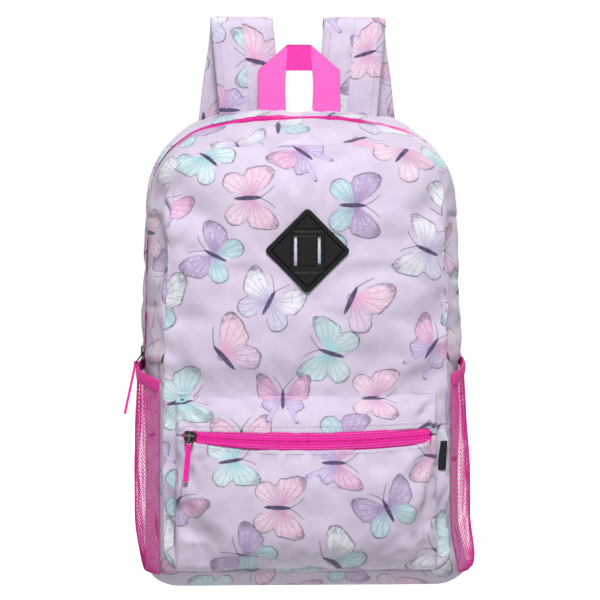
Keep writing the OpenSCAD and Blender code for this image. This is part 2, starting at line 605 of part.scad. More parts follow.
// A short loop of webbing from the strap's end round the lock's top bar
loop_t = 1.3;
bar_top_z = lock_hl - 1.5;
module lock_loop(side) color(pink) at_lock(side) {
    for (y = [-1, 1]) translate([-webbing_w / 2, y * 2.9 - loop_t / 2, bar_top_z - 3.6])
        cube([webbing_w, loop_t, 12.6]);
    translate([-webbing_w / 2, -2.9 - loop_t / 2, bar_top_z - 3.6 - loop_t])
        cube([webbing_w, 5.8 + loop_t, loop_t]);
}
module lock_loop_left() lock_loop(left);
module lock_loop_right() lock_loop(right);

// The free end of the lower webbing, turned over the middle bar and hanging down outside
tail_l = 70;
module webbing_tail(side) color(pink) at_lock(side) {
    translate([-webbing_w / 2, 2.5, -tail_l]) cube([webbing_w, 1.3, tail_l + 1.5]);
    translate([-webbing_w / 2, -3.8, 0.2]) cube([webbing_w, 7.6, 1.3]);
}
module webbing_tail_left() webbing_tail(left);
module webbing_tail_right() webbing_tail(right);

// From behind the lock down to the wing at the bottom corner
wing_x = 114;
wing_z = 52;
wing_y = y_back + back_t;
wing_t = 1.3;
webbing_path = [
    [lock_x, lock_y - 4.8, lock_z + 2], [lock_x, lock_y - 4.9, 180], [98, 77, 140], [107, 70, 95],
    [wing_x, wing_y + wing_t + 1.2, wing_z + 10], [wing_x + 1, wing_y + wing_t + 0.7, wing_z - 14]
];
module adjust_webbing(side) color(pink) band([
    for (s = webbing_path) [[side * s[0], s[1], s[2]], webbing_w / 2, 0.65, x_dir, [0, 1, 0]]
]);
module adjust_webbing_left() adjust_webbing(left);
module adjust_webbing_right() adjust_webbing(right);

// A triangle of fabric sewn into the side seam, holding the webbing's end
module strap_wing(side) color(lilac) translate([0, wing_y + wing_t, 0]) rotate([90, 0, 0])
    linear_extrude(height = wing_t) polygon([for (p = wing_outline) [side * p[0], p[1]]]);
wing_outline = [[wing_x - 15, 60], [wing_x + 14, 60], [135, 44], [135, 30], [120, 22], [wing_x - 15, 42]];
module strap_wing_left() strap_wing(left);
module strap_wing_right() strap_wing(right);

back_panel();
back_foam();
back_lining();
rear_gusset();
side_panel_left();
side_panel_right();
bottom_panel();
front_panel_lower();
rear_zip_tape();
rear_zip_coil();
front_zip_ends();
zip_stops();
front_panel_upper();
front_gusset();
front_zip_tape();
front_zip_coil();
lash_patch();
main_slider();
main_pull_tab();
main_pull_ribbon();
pocket_front();
pocket_end_left();
pocket_end_right();
pocket_tape_lower();
pocket_coil_lower();
pocket_tape_ends();
pocket_mouth_strip();
pocket_tape_upper();
pocket_coil_upper();
pocket_slider();
pocket_pull_tab();
pocket_pull_ribbon();
mesh_pocket_left();
mesh_pocket_right();
elastic_left();
elastic_right();
side_label();
grab_handle();
strap_base_left();
strap_base_right();
shoulder_strap_left();
shoulder_strap_right();
lock_loop_left();
lock_loop_right();
ladder_lock_left();
ladder_lock_right();
webbing_tail_left();
webbing_tail_right();
adjust_webbing_left();
adjust_webbing_right();
strap_wing_left();
strap_wing_right();
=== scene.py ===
import json
import math

import bmesh
import bpy
import numpy as np
from mathutils import Matrix, Vector, noise

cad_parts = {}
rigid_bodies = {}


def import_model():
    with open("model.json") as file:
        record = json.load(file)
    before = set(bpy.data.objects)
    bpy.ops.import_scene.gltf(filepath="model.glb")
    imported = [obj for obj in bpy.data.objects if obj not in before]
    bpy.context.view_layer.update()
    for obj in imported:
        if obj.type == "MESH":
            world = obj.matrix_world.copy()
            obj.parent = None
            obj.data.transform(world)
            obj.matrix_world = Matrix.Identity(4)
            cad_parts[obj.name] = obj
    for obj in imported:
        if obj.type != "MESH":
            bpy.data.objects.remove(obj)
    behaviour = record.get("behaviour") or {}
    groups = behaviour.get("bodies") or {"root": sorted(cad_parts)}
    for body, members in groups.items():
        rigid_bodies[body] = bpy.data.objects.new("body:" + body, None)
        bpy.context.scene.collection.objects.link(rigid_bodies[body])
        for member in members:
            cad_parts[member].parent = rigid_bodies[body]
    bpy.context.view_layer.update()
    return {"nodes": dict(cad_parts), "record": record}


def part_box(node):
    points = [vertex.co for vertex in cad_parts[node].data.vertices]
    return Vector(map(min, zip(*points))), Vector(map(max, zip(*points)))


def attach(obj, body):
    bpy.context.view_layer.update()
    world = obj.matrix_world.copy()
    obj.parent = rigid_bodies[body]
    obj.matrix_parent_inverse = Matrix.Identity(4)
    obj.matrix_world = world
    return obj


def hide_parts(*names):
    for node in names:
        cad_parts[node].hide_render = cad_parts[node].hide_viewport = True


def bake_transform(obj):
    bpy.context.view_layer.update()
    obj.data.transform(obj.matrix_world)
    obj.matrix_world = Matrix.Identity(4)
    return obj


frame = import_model()
scene = bpy.context.scene
MM = 0.001

# ---------------------------------------------------------------- camera and light

aim = Vector((-0.0025, 0.0, 0.2547))
azimuth, elevation, distance = math.radians(-3.6), math.radians(0.9), 2.8
cam_data = bpy.data.cameras.new("camera")
cam_data.sensor_width = 36
cam_data.lens = 36 * distance / 0.540
cam = bpy.data.objects.new("camera", cam_data)
scene.collection.objects.link(cam)
cam.location = aim + distance * Vector((math.sin(azimuth) * math.cos(elevation),
                                        -math.cos(azimuth) * math.cos(elevation), math.sin(elevation)))
cam.rotation_euler = (aim - cam.location).to_track_quat("-Z", "Y").to_euler()
scene.camera = cam


def area_light(name, place, size, power, target=(0, 0, 0.25)):
    data = bpy.data.lights.new(name, "AREA")
    data.shape, data.size, data.energy = "DISK", size, power
    o = bpy.data.objects.new(name, data)
    o.location = place
    o.rotation_euler = (Vector(target) - Vector(place)).to_track_quat("-Z", "Y").to_euler()
    scene.collection.objects.link(o)


area_light("key", (-0.05, -1.9, 2.0), 0.9, 83)
area_light("fill", (1.7, -1.7, 0.7), 1.4, 1)
area_light("top", (0.0, -0.5, 2.1), 1.2, 7)
area_light("back", (0.5, 2.0, 1.4), 1.5, 34)
world = bpy.data.worlds.new("studio")
world.use_nodes = True
world_tree = world.node_tree
sky = world_tree.nodes.new("ShaderNodeTexCoord")
height = world_tree.nodes.new("ShaderNodeSeparateXYZ")
world_tree.links.new(sky.outputs["Generated"], height.inputs[0])
# Bright from below, dark at the sides, a white band behind the object and dim above
level = world_tree.nodes.new("ShaderNodeFloatCurve")
glow = level.mapping.curves[0]
glow.points[0].location, glow.points[1].location = (0.0, 1.0), (1.0, 0.17)
for at in ((0.18, 0.95), (0.36, 0.42), (0.468, 0.2), (0.484, 1.0), (0.55, 1.0), (0.58, 0.17)):
    glow.points.new(*at)
for point in glow.points:
    point.handle_type = "VECTOR"
level.mapping.update()
half = world_tree.nodes.new("ShaderNodeMath")
half.operation = "MULTIPLY_ADD"
half.inputs[1].default_value = half.inputs[2].default_value = 0.5
world_tree.links.new(height.outputs["Z"], half.inputs[0])
world_tree.links.new(half.outputs[0], level.inputs["Value"])
world_tree.links.new(level.outputs[0], world_tree.nodes["Background"].inputs["Strength"])
world_tree.nodes["Background"].inputs["Color"].default_value = (1, 1, 1, 1)
scene.world = world
scene.view_settings.view_transform = "Standard"

# ---------------------------------------------------------------- shader helpers


def srgb(r, g, b, gain=0.78):
    lin = [(c / 255 / 12.92) if c <= 10 else ((c / 255 + 0.055) / 1.055) ** 2.4 for c in (r, g, b)]
    return (*(c * gain for c in lin), 1)


class Val:
    """A shader value that ordinary arithmetic can be done with."""

    def __init__(self, tree, out):
        self.tree, self.out = tree, out

    def op(self, name, *others):
        node = self.tree.nodes.new("ShaderNodeMath")
        node.operation = name
        for slot, v in zip(node.inputs, (self, *others)):
            plug(self.tree, slot, v)
        return Val(self.tree, node.outputs[0])

    def __add__(self, o): return self.op("ADD", o)
    def __sub__(self, o): return self.op("SUBTRACT", o)
    def __mul__(self, o): return self.op("MULTIPLY", o)
    def __truediv__(self, o): return self.op("DIVIDE", o)
    def abs(self): return self.op("ABSOLUTE")
    def floor(self): return self.op("FLOOR")
    def fract(self): return self.op("FRACT")
    def max(self, o): return self.op("MAXIMUM", o)
    def min(self, o): return self.op("MINIMUM", o)

    def step(self, low, high, a=0.0, b=1.0):
        node = self.tree.nodes.new("ShaderNodeMapRange")
        node.interpolation_type = "SMOOTHSTEP"
        for i, v in enumerate((self, low, high, a, b)):
            plug(self.tree, node.inputs[i], v)
        return Val(self.tree, node.outputs[0])

    def mix(self, a, b):
        return (self * b) + (self.op("MULTIPLY_ADD", -1.0, 1.0) * a)

    def curve(self, points):
        node = self.tree.nodes.new("ShaderNodeFloatCurve")
        c = node.mapping.curves[0]
        c.points[0].location, c.points[1].location = points[0], points[-1]
        for p in points[1:-1]:
            c.points.new(*p)
        node.mapping.extend = "HORIZONTAL"
        node.mapping.update()
        plug(self.tree, node.inputs["Value"], self)
        return Val(self.tree, node.outputs[0])

    def ramp(self, stops, constant=False):
        node = self.tree.nodes.new("ShaderNodeValToRGB")
        node.color_ramp.interpolation = "CONSTANT" if constant else "LINEAR"
        els = node.color_ramp.elements
        while len(els) < len(stops):
            els.new(0.5)
        for e, (pos, col) in zip(els, stops):
            e.position, e.color = pos, col
        plug(self.tree, node.inputs[0], self)
        return Val(self.tree, node.outputs[0])

    def blend(self, a, b, mode="MIX"):
        """Mixes two colours by this value."""
        node = self.tree.nodes.new("ShaderNodeMix")
        node.data_type, node.blend_type = "RGBA", mode
        for i, v in ((0, self), (6, a), (7, b)):
            plug(self.tree, node.inputs[i], v)
        return Val(self.tree, node.outputs[2])


def plug(tree, slot, v):
    if isinstance(v, Val):
        tree.links.new(v.out, slot)
    else:
        slot.default_value = v


def noise_val(tree, vector, scale, detail=2.0, rough=0.5):
    node = tree.nodes.new("ShaderNodeTexNoise")
    if vector is not None:
        tree.links.new(vector.out, node.inputs["Vector"])
    node.inputs["Scale"].default_value = scale
    node.inputs["Detail"].default_value = detail
    node.inputs["Roughness"].default_value = rough
    return Val(tree, node.outputs["Fac"])


def vector_of(tree, x, y, z=0.0):
    node = tree.nodes.new("ShaderNodeCombineXYZ")
    for slot, v in zip(node.inputs, (x, y, z)):
        plug(tree, slot, v)
    return Val(tree, node.outputs[0])


def split(tree, vector):
    node = tree.nodes.new("ShaderNodeSeparateXYZ")
    tree.links.new(vector.out, node.inputs[0])
    return [Val(tree, o) for o in node.outputs]


def flat_uv(tree):
    node = tree.nodes.new("ShaderNodeUVMap")
    node.uv_map = "flat"
    return Val(tree, node.outputs[0])


def object_pos(tree):
    return Val(tree, tree.nodes.new("ShaderNodeTexCoord").outputs["Object"])


# The print: one butterfly to a cell of a staggered repeat, each turned its own way. The wings'
# outline is a radius by angle round the body, for a broad pair of wings and for a tailed pair.
BROAD = [(0, .10), (.12, .14), (.18, .45), (.235, .88), (.28, 1.0), (.33, .98), (.39, .89), (.46, .80),
         (.52, .74), (.555, .64), (.58, .60), (.61, .66), (.67, .80), (.74, .86), (.81, .82), (.88, .64),
         (.93, .38), (.965, .2), (1, .12)]
TAILED = [(0, .09), (.11, .14), (.17, .50), (.22, .93), (.26, 1.0), (.33, .88), (.41, .76), (.49, .66),
          (.55, .54), (.59, .58), (.65, .68), (.72, .68), (.785, .64), (.82, .70), (.845, .96), (.87, .93),
          (.89, .52), (.935, .30), (1, .12)]
# Seven kinds: where each starts on a scale from 0 to 1, its fore wings' colour and its hind wings'
KINDS = [(0.00, (242, 206, 228), (230, 204, 232)), (0.13, (238, 240, 248), (184, 220, 228)),
         (0.27, (242, 202, 226), (240, 210, 230)), (0.42, (200, 230, 234), (210, 234, 238)),
         (0.57, (236, 234, 246), (216, 212, 238)), (0.71, (196, 172, 214), (188, 224, 232)),
         (0.86, (232, 180, 216), (206, 190, 232))]
# The colour at each kind's wing roots
ROOTS = [(0.00, (232, 120, 190)), (0.13, (150, 150, 190)), (0.27, (190, 110, 180)), (0.42, (92, 190, 198)),
         (0.57, (150, 130, 186)), (0.71, (120, 92, 158)), (0.86, (150, 110, 180))]
CELL_W, CELL_H = 0.088, 0.085            # the repeat, in metres
SPAN_W, SPAN_H = 0.372, 0.385            # half a pair of wings, as a part of the repeat
SIDE_VIEW_ENDS = (0.285, 0.286)          # kinds below this show one pair of wings, from the side
TAILED_STARTS = (0.857, 0.858)           # kinds above this have tails


def print_colour(tree):
    g = bpy.data.node_groups.get("butterfly_print") or make_print()
    node = tree.nodes.new("ShaderNodeGroup")
    node.node_tree = g
    return Val(tree, node.outputs["Color"])


def make_print():
    t = bpy.data.node_groups.new("butterfly_print", "ShaderNodeTree")
    t.interface.new_socket("Color", in_out="OUTPUT", socket_type="NodeSocketColor")
    uv = flat_uv(t)
    col = noise_val(t, uv, 45, 3).step(0.3, 0.7).blend(srgb(214, 200, 224), srgb(222, 209, 231))
    for shift, seed in ((0.0, 3.7), (0.5, 23.1)):
        col = butterflies(t, uv, shift, seed, col)
    outn = t.nodes.new("NodeGroupOutput")
    t.links.new(col.out, outn.inputs[0])
    return t


def butterflies(t, uv, shift, seed, ground):
    """One layer of the print over the colour called ground: a butterfly in each cell."""
    u, v, _ = split(t, uv)
    wobble = noise_val(t, uv, 90, 2)
    V = v * (1 / CELL_H) + shift
    j = V.floor()
    U = u * (1 / CELL_W) + shift + j * 0.13
    i = U.floor()
    rnd = []
    for k in (seed, seed + 7.6):
        w = t.nodes.new("ShaderNodeTexWhiteNoise")
        t.links.new(vector_of(t, i, j, k).out, w.inputs["Vector"])
        rnd += split(t, Val(t, w.outputs["Color"]))
    kind = ((i * 3.0 + j * 5.0 + shift * 6.0).op("FLOORED_MODULO", 7.0) + 0.5) * (1 / 7)
    side = kind.step(*SIDE_VIEW_ENDS, 1.0, 0.0)
    tailed = kind.step(*TAILED_STARTS)
    turn = (rnd[0] - 0.5) * 3.6
    c, s = turn.op("COSINE"), turn.op("SINE")
    fx = (U - i - 0.5 + (rnd[1] - 0.5) * 0.10) * (1 / SPAN_W)
    fy = (V - j - 0.5 + (rnd[2] - 0.5) * 0.10) * (1 / SPAN_H)
    x = fx * c + fy * s
    y = fy * c - fx * s + 0.02
    span = ((rnd[3] - 0.5) * 0.14 + 1.0) * side.mix(1.0, 0.82)
    x, y = x * span, y * span
    px = side.mix(x.abs(), x + 0.36)
    r = (px * px + y * y).op("SQRT")
    angle = px.op("ARCTAN2", y) * (1 / math.pi)
    reach = tailed.mix(angle.curve(BROAD), angle.curve(TAILED)) * ((wobble - 0.5) * 0.12 + 1.0)
    out = r / reach.max(0.05)
    wing = out.step(0.955, 1.0, 1.0, 0.0)
    fore = angle.step(0.57, 0.59, 1.0, 0.0)
    notch = (angle - 0.58).abs().step(0.0, 0.010, 1.0, 0.0) * out.step(0.25, 0.5)
    wash = noise_val(t, uv, 260, 4, 0.65)
    front = kind.ramp([(p, srgb(*a)) for p, a, _ in KINDS], True)
    hind = kind.ramp([(p, srgb(*b)) for p, _, b in KINDS], True)
    tint = fore.blend(hind, front)
    tint = (wash.step(0.42, 0.72) * 0.5).blend(tint, srgb(246, 240, 250))
    tint = (out.step(0.05, 0.6, 0.55, 0.0)).blend(tint, kind.ramp([(p, srgb(*c)) for p, c in ROOTS], True))
    veins = (angle * 12.0 + (wobble - 0.5) * 0.5).fract() - 0.5
    vein = (veins.abs() * r).step(0.004, 0.028, 1.0, 0.0) * out.step(0.2, 0.45) * 0.9
    fork = ((angle * 24.0 + (wobble - 0.5) * 0.5).fract() - 0.5).abs()
    bars = (fork * r).step(0.006, 0.05, 1.0, 0.0) * out.step(0.74, 0.80)
    rim = out.step(0.90, 0.955) * (wash.step(0.35, 0.6) * 0.4 + 0.6)
    inner = (out - 0.60).abs().step(0.0, 0.018, 1.0, 0.0) * wash.step(0.45, 0.6) * 0.6
    tip = out.step(0.70, 0.9) * angle.step(0.30, 0.40, 1.0, 0.0) * wash.step(0.4, 0.55) * 0.7
    ink = vein.max(rim).max(notch * 0.6).max(inner).max(bars).max(tip)
    tint = (ink * (wash * 0.4 + 0.72)).blend(tint, srgb(92, 82, 108))
    bx, by = (px - side * 0.01) * (1 / 0.058), (y + 0.06) * (1 / 0.36)
    body = (bx * bx + by * by).step(0.7, 1.1, 1.0, 0.0)
    ay = y - 0.24
    feeler = (px - ay * 0.42 - ay * ay * 0.8 - 0.01).abs().step(0.006, 0.022, 1.0, 0.0)
    feeler = feeler * ay.step(0.0, 0.02) * ay.step(0.36, 0.38, 1.0, 0.0) * 0.75
    col = (wing * 0.92).blend(ground, tint)
    return body.max(feeler).blend(col, (wash.step(0.4, 0.6)).blend(srgb(72, 64, 84), srgb(104, 84, 132)))


def new_material(name):
    m = bpy.data.materials.new(name)
    m.use_nodes = True
    return m, m.node_tree, m.node_tree.nodes["Principled BSDF"]


def bump(tree, bsdf, height, distance, strength=1.0):
    node = tree.nodes.new("ShaderNodeBump")
    node.inputs["Strength"].default_value = strength
    node.inputs["Distance"].default_value = distance
    tree.links.new(height.out, node.inputs["Height"])
    tree.links.new(node.outputs[0], bsdf.inputs["Normal"])


def weave_height(tree, pitch):
    """Threads over and under each other, in the cloth's own flat coordinates."""
    u, v, _ = split(tree, flat_uv(tree))
    a, b = u * (math.pi / pitch), v * (math.pi / pitch)
    checker = (a.op("SINE") * b.op("SINE")).step(-0.4, 0.4)
    return checker.mix((a * 2.0).op("COSINE").abs(), (b * 2.0).op("COSINE").abs())


def cloth(name, colour, rough=0.8, pitch=0.0009, depth=0.00012, sheen=0.25, mottled=0.10):
    """Woven cloth: colour is a colour, or the print."""
    m, t, b = new_material(name)
    uv = flat_uv(t)
    if colour == "print":
        col = print_colour(t)
    else:
        dark = tuple(c * (1 - mottled) for c in colour[:3]) + (1,)
        col = noise_val(t, uv, 400, 3, 0.6).step(0.3, 0.7).blend(dark, colour)
    h = weave_height(t, pitch)
    # Darker in the weave's low spots between the threads: painted shade in the weave, multiplied into the
    # print or mixed towards black
    col = (h * -0.10 + 0.10).blend(col, srgb(70, 60, 84), "MULTIPLY") if colour == "print" else \
        (h * -0.22 + 0.22).blend(col, (0, 0, 0, 1))
    t.links.new(col.out, b.inputs["Base Color"])
    b.inputs["Roughness"].default_value = rough
    b.inputs["Specular IOR Level"].default_value = 0.3
    b.inputs["Sheen Weight"].default_value = sheen
    b.inputs["Sheen Roughness"].default_value = 0.5
    puckers = noise_val(t, uv, 130, 3, 0.55)
    bump(t, b, h * 0.5 + puckers * 1.6, depth * 2)
    return m


def ribbed(name, colour, pitch=0.0014, depth=0.0003, along="v", rough=0.7):
    """Webbing and tape: ribs across the length, with a fine twill between them."""
    m, t, b = new_material(name)
    uv = flat_uv(t)
    u, v, _ = split(t, uv)
    if along == "u":
        u, v = v, u
    twill, thread = 0.0028, 0.0011
    skew = (u * (2 * math.pi / twill)).op("SINE") * 0.35
    rib = ((v * (2 * math.pi / pitch)) + skew * 2.0).op("SINE") * 0.5 + 0.5
    fine = (u * (2 * math.pi / thread)).op("SINE") * 0.5 + 0.5
    h = rib * 0.75 + fine * 0.25
    # dark is painted shade: the grooves between the ribs, where h is low, take the colour at 0.62; the noise
    # tone is the webbing's own
    dark = tuple(c * 0.62 for c in colour[:3]) + (1,)
    light = tuple(min(1, c * 1.12) for c in colour[:3]) + (1,)
    tone = noise_val(t, uv, 300, 3).step(0.3, 0.7).blend(colour, light)
    t.links.new(h.step(0.05, 0.7).blend(dark, tone).out, b.inputs["Base Color"])
    b.inputs["Roughness"].default_value = rough
    b.inputs["Sheen Weight"].default_value = 0.12
    b.inputs["Specular IOR Level"].default_value = 0.25
    bump(t, b, h, depth)
    return m


def moulded(name, colour, rough, metal=0.0, grain=0.00006, scale=900, worn=None, gloss=0.5):
    """Moulded plastic, rubber or plated metal: fine grain, patchy gloss and paler edges."""
    m, t, b = new_material(name)
    p = object_pos(t)
    g = noise_val(t, p, scale, 3, 0.6)
    patch = noise_val(t, p, 60, 3, 0.6)
    geo = t.nodes.new("ShaderNodeNewGeometry")
    edge = Val(t, geo.outputs["Pointiness"]).step(0.52, 0.60)
    pale = worn or tuple(min(1, c * 1.6 + 0.012) for c in colour[:3]) + (1,)
    base = patch.step(0.3, 0.7).blend(colour, tuple(c * 0.82 for c in colour[:3]) + (1,))
    t.links.new((edge * 0.7).blend(base, pale).out, b.inputs["Base Color"])
    t.links.new((patch * 0.18 + (rough - 0.09)).out, b.inputs["Roughness"])
    b.inputs["Metallic"].default_value = metal
    b.inputs["Specular IOR Level"].default_value = gloss
    bump(t, b, g, grain)
    return m


M = {
    "print": cloth("print_cloth", "print"),
    "print_in": cloth("lining_cloth", srgb(178, 166, 196), rough=0.6, sheen=0.1),
    "back": cloth("air_mesh_cloth", srgb(166, 148, 186), pitch=0.0024, depth=0.0005, sheen=0.35, mottled=0.2),
    "binding": ribbed("seam_binding", srgb(196, 180, 208), pitch=0.0010, depth=0.00015),
    "tape": ribbed("zip_tape", srgb(222, 18, 150, 0.88), pitch=0.0011, depth=0.00010, along="u"),
    "teeth": moulded("zip_teeth", srgb(220, 20, 148, 0.86), 0.4),
    "webbing": ribbed("pink_webbing", srgb(250, 98, 190, 0.98), pitch=0.0019, depth=0.00045),
    "elastic": ribbed("pink_elastic", srgb(240, 24, 160, 0.88), pitch=0.0016, depth=0.0004, along="u"),
    "net": ribbed("net_thread", srgb(255, 44, 176, 0.95), pitch=0.0008, depth=0.0001),
    "net_edge": ribbed("net_binding_tape", srgb(206, 70, 158, 0.85), pitch=0.0008, depth=0.0001),
    "ribbon": ribbed("pull_ribbon_cloth", srgb(236, 24, 156, 0.88), pitch=0.0008, depth=0.0001, rough=0.5),
    "metal": moulded("gunmetal", srgb(96, 90, 88), 0.32, metal=1.0, grain=0.00002, worn=srgb(180, 172, 166)),
    "rubber": moulded("moulded_rubber", srgb(17, 16, 18), 0.55, grain=0.00005, scale=1500, gloss=0.22),
    # The handle's cross piece: the pink webbing darkened, painted shade behind the handle's legs
    "cross": ribbed("shaded_webbing", srgb(240, 52, 170, 0.9), pitch=0.0019, depth=0.00045),
    "plastic": moulded("buckle_plastic", srgb(24, 24, 26), 0.35, grain=0.00003),
    "label": cloth("woven_label", srgb(24, 22, 30), pitch=0.0006, sheen=0.1),
    "thread": moulded("sewing_thread", srgb(206, 190, 216), 0.7),
    "pink_thread": moulded("pink_sewing_thread", srgb(255, 130, 206), 0.6),
}

# ---------------------------------------------------------------- mesh helpers


def make(name, verts, faces, mat, uvs=None, smooth=True, inner=None):
    """Vertices in millimetres, with flat coordinates in metres."""
    me = bpy.data.meshes.new(name)
    me.from_pydata([(v[0] * MM, v[1] * MM, v[2] * MM) for v in verts], [], faces)
    me.materials.append(M[mat])
    if inner:
        me.materials.append(M[inner])
    layer = me.uv_layers.new(name="flat")
    if uvs is None:
        uvs = [((v[0] + 0.4 * v[1]) * MM, (v[2] + 0.4 * v[1]) * MM) for v in verts]
    for loop in me.loops:
        layer.data[loop.index].uv = uvs[loop.vertex_index]
    if smooth:
        me.shade_smooth()
    o = bpy.data.objects.new(name, me)
    scene.collection.objects.link(o)
    return o


def grid_faces(rows, cols, start=0, closed=False):
    """The faces of rows of vertices, from vertex start on. closed joins each row's ends."""
    faces = []
    for r in range(rows - 1):
        for c in range(cols if closed else cols - 1):
            a, b = start + r * cols + c, start + r * cols + (c + 1) % cols
            faces.append((a, b, b + cols, a + cols))
    return faces


def grid_piece(name, rows, mat, uv_rows=None, **k):
    verts = [p for row in rows for p in row]
    uvs = [p for row in uv_rows for p in row] if uv_rows else None
    return make(name, verts, grid_faces(len(rows), len(rows[0])), mat, uvs, **k)


def modifier(o, kind, **settings):
    m = o.modifiers.new(kind.lower(), kind)
    for k, v in settings.items():
        setattr(m, k, v)
    return m


def bake(o):
    """Applies the piece's modifiers."""
    dg = bpy.context.evaluated_depsgraph_get()
    dg.update()
    me = bpy.data.meshes.new_from_object(o.evaluated_get(dg), depsgraph=dg)
    old = o.data
    o.modifiers.clear()
    o.data = me
    bpy.data.meshes.remove(old)
    return o


def thicken(o, t=1.2, inner=True, out=-1.0, subdiv=0):
    """Gives a sheet its thickness, t millimetres. inner: its far side has the second material."""
    modifier(o, "SOLIDIFY", thickness=t * MM, offset=out, use_rim=True, material_offset=1 if inner else 0,
             use_even_offset=False)
    if subdiv:
        modifier(o, "SUBSURF", levels=subdiv, render_levels=subdiv)
    return bake(o)


def n3(x, y, z, scale, seed=0.0):
    return noise.noise(Vector((x / scale + seed, y / scale - seed, z / scale + 0.5 * seed)))


def simulate(o, pinned, pressure=1.0, shrink=-0.02, frames=22, gravity=0.0, stiff=12, bending=0.4, cap=9):
    """Cloth with a little more of itself than its shape needs, held along its seams, so that it wrinkles."""
    group = o.vertex_groups.new(name="pin")
    for index, w in pinned.items():
        group.add([index], w, "REPLACE")
    before = [v.co.copy() for v in o.data.vertices]
    m = modifier(o, "CLOTH")
    s = m.settings
    s.vertex_group_mass, s.pin_stiffness = "pin", 1.0
    s.quality, s.mass = 6, 0.12
    s.tension_stiffness = s.compression_stiffness = stiff
    s.shear_stiffness, s.bending_stiffness = stiff * 0.4, bending
    s.tension_damping = s.compression_damping = 8
    s.air_damping = 3
    s.shrink_min = s.shrink_max = shrink
    s.use_pressure, s.uniform_pressure_force = True, pressure
    s.effector_weights.gravity = gravity
    m.collision_settings.use_collision = False
    m.point_cache.frame_start, m.point_cache.frame_end = 1, frames
    for f in range(1, frames + 1):
        scene.frame_set(f)
    bake(o)
    for v, a in zip(o.data.vertices, before):
        move = v.co - a
        if move.length > cap * MM:
            v.co = a + move * (cap * MM / move.length)
    scene.frame_set(1)


def crumple(o, folds, amount=0.5, scale=34, seed=0.0, weight=None, flip=1):
    """Presses folds into the cloth along its normals.

    A fold is x0, z0, x1, z1, width, depth, in millimetres."""
    moves = []
    for v in o.data.vertices:
        x, y, z = v.co / MM
        d = amount * (n3(x, y, z, scale, seed) + 0.5 * n3(x, y, z, scale * 0.45, seed + 7))
        for x0, z0, x1, z1, w, deep in folds:
            ax, az = x1 - x0, z1 - z0
            t = ((x - x0) * ax + (z - z0) * az) / (ax * ax + az * az)
            if -0.25 < t < 1.25:
                wave = 2.5 * n3(x0 + 40 * t, z0, 0, 12, 3.3)
                side = ((x - x0) * az - (z - z0) * ax) / math.hypot(ax, az) + wave
                ends = smooth((t + 0.25) / 0.5) * smooth((1.25 - t) / 0.5)
                u = side / w
                d += deep * ends * (0.55 * math.exp(-((u - 1.3) ** 2)) - math.exp(-u * u))
        k = 1.0 if weight is None else weight(x, y, z)
        moves.append(v.normal * (d * k * MM * flip))
    for v, m in zip(o.data.vertices, moves):
        v.co += m
    o.data.update()


def cut_area(o):
    return sum(p.area for p in o.data.polygons)


def sewn(width, area):
    """Divides the area as cut by the cloth's width and by 0.8; the result is not kept."""
    area / width / 0.8


# ---------------------------------------------------------------- the bag's shape, as in the CAD model

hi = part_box("rear_gusset")[1]
body_hw, body_h = hi.x / MM, hi.z / MM
y_front, y_zip, y_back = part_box("front_panel_lower")[1].y / MM, 12.0, hi.y / MM
front_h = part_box("front_panel_upper")[1].z / MM
zip_end_z, shoulder_z, taper = 200.0, 330.0, 0.035
corner_r = 22.0
panel_y = y_front - 1.5
panel_foot_z, patch_z = 37, 299
pocket_hw, pocket_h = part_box("pocket_front")[1].x / MM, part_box("pocket_mouth_strip")[1].z / MM


def mix(a, b, t):
    return a + (b - a) * t


def clamp(t, a=0.0, b=1.0):
    return max(a, min(b, t))


def smooth(t):
    t = clamp(t)
    return t * t * (3 - 2 * t)


def rounded(y, front, zip_, back):
    """A measure that the bag has at its front, at the main zip and at its back, eased between them."""
    if y < y_zip:
        return mix(front, zip_, math.sin(math.pi / 2 * (y - y_front) / (y_zip - y_front)))
    return mix(zip_, back, 1 - math.cos(math.pi / 2 * (y - y_zip) / (y_back - y_zip)))


def half_w(y): return rounded(y, body_hw - 16, body_hw, body_hw - 4)
def top_z(y): return mix(front_h, body_h, math.sin(math.pi / 2 * (y - y_front) / (y_back - y_front)))
def power(y): return rounded(y, 4.5, 2.5, 2.7)
def side_x(y, z, d=0.0): return half_w(y) - d - taper * max(0.0, z - zip_end_z)


def base_z(y):
    """The base's height: it rises at the front and a little at the back."""
    if y < y_front + 26:
        return 15 * (1 - math.sin(math.pi / 2 * (y - y_front) / 26))
    return 6 * (1 - math.cos(math.pi / 2 * (y - y_back + 14) / 14)) if y > y_back - 14 else 0.0


def arch(s, y, d=0.0):
    """Over the top from the left (s = -2, at the zip's end) to the right (s = 2), d inside the skin."""
    h, sign = abs(s), (1 if s > 0 else -1)
    if h >= 1:
        z = mix(zip_end_z, shoulder_z, 2 - h)
        return Vector((sign * side_x(y, z, d), y, z))
    a, p = math.pi / 2 * (1 - h), 2 / power(y)
    return Vector((sign * side_x(y, shoulder_z, d) * max(0.0, math.cos(a)) ** p, y,
                   shoulder_z + (top_z(y) - d - shoulder_z) * max(0.0, math.sin(a)) ** p))


def outward(p):
    """Away from the bag's middle, for a point near the main zip."""
    return Vector((p.x / 140, 0, max(0.0, (p.z - 250) / 180))).normalized()


def zip_lift(y):
    """How far the cloth and tape stand out of the CAD skin near the zip: more on its rear side."""
    t = (y - y_zip) / 6
    return 0.9 + 1.1 * t if abs(t) <= 1 else (-0.2 if t < 0 else 2.0 * (1 - smooth((y - y_zip - 6) / 36)))


def zip_gap(s):
    """Half of the width between the two cloth edges along the main zip."""
    x = arch(s, y_zip).x
    return 3.9 + 1.5 * math.exp(-((x + 45) / 32) ** 2) + 1.9 * smooth((abs(x) - 60) / 40)


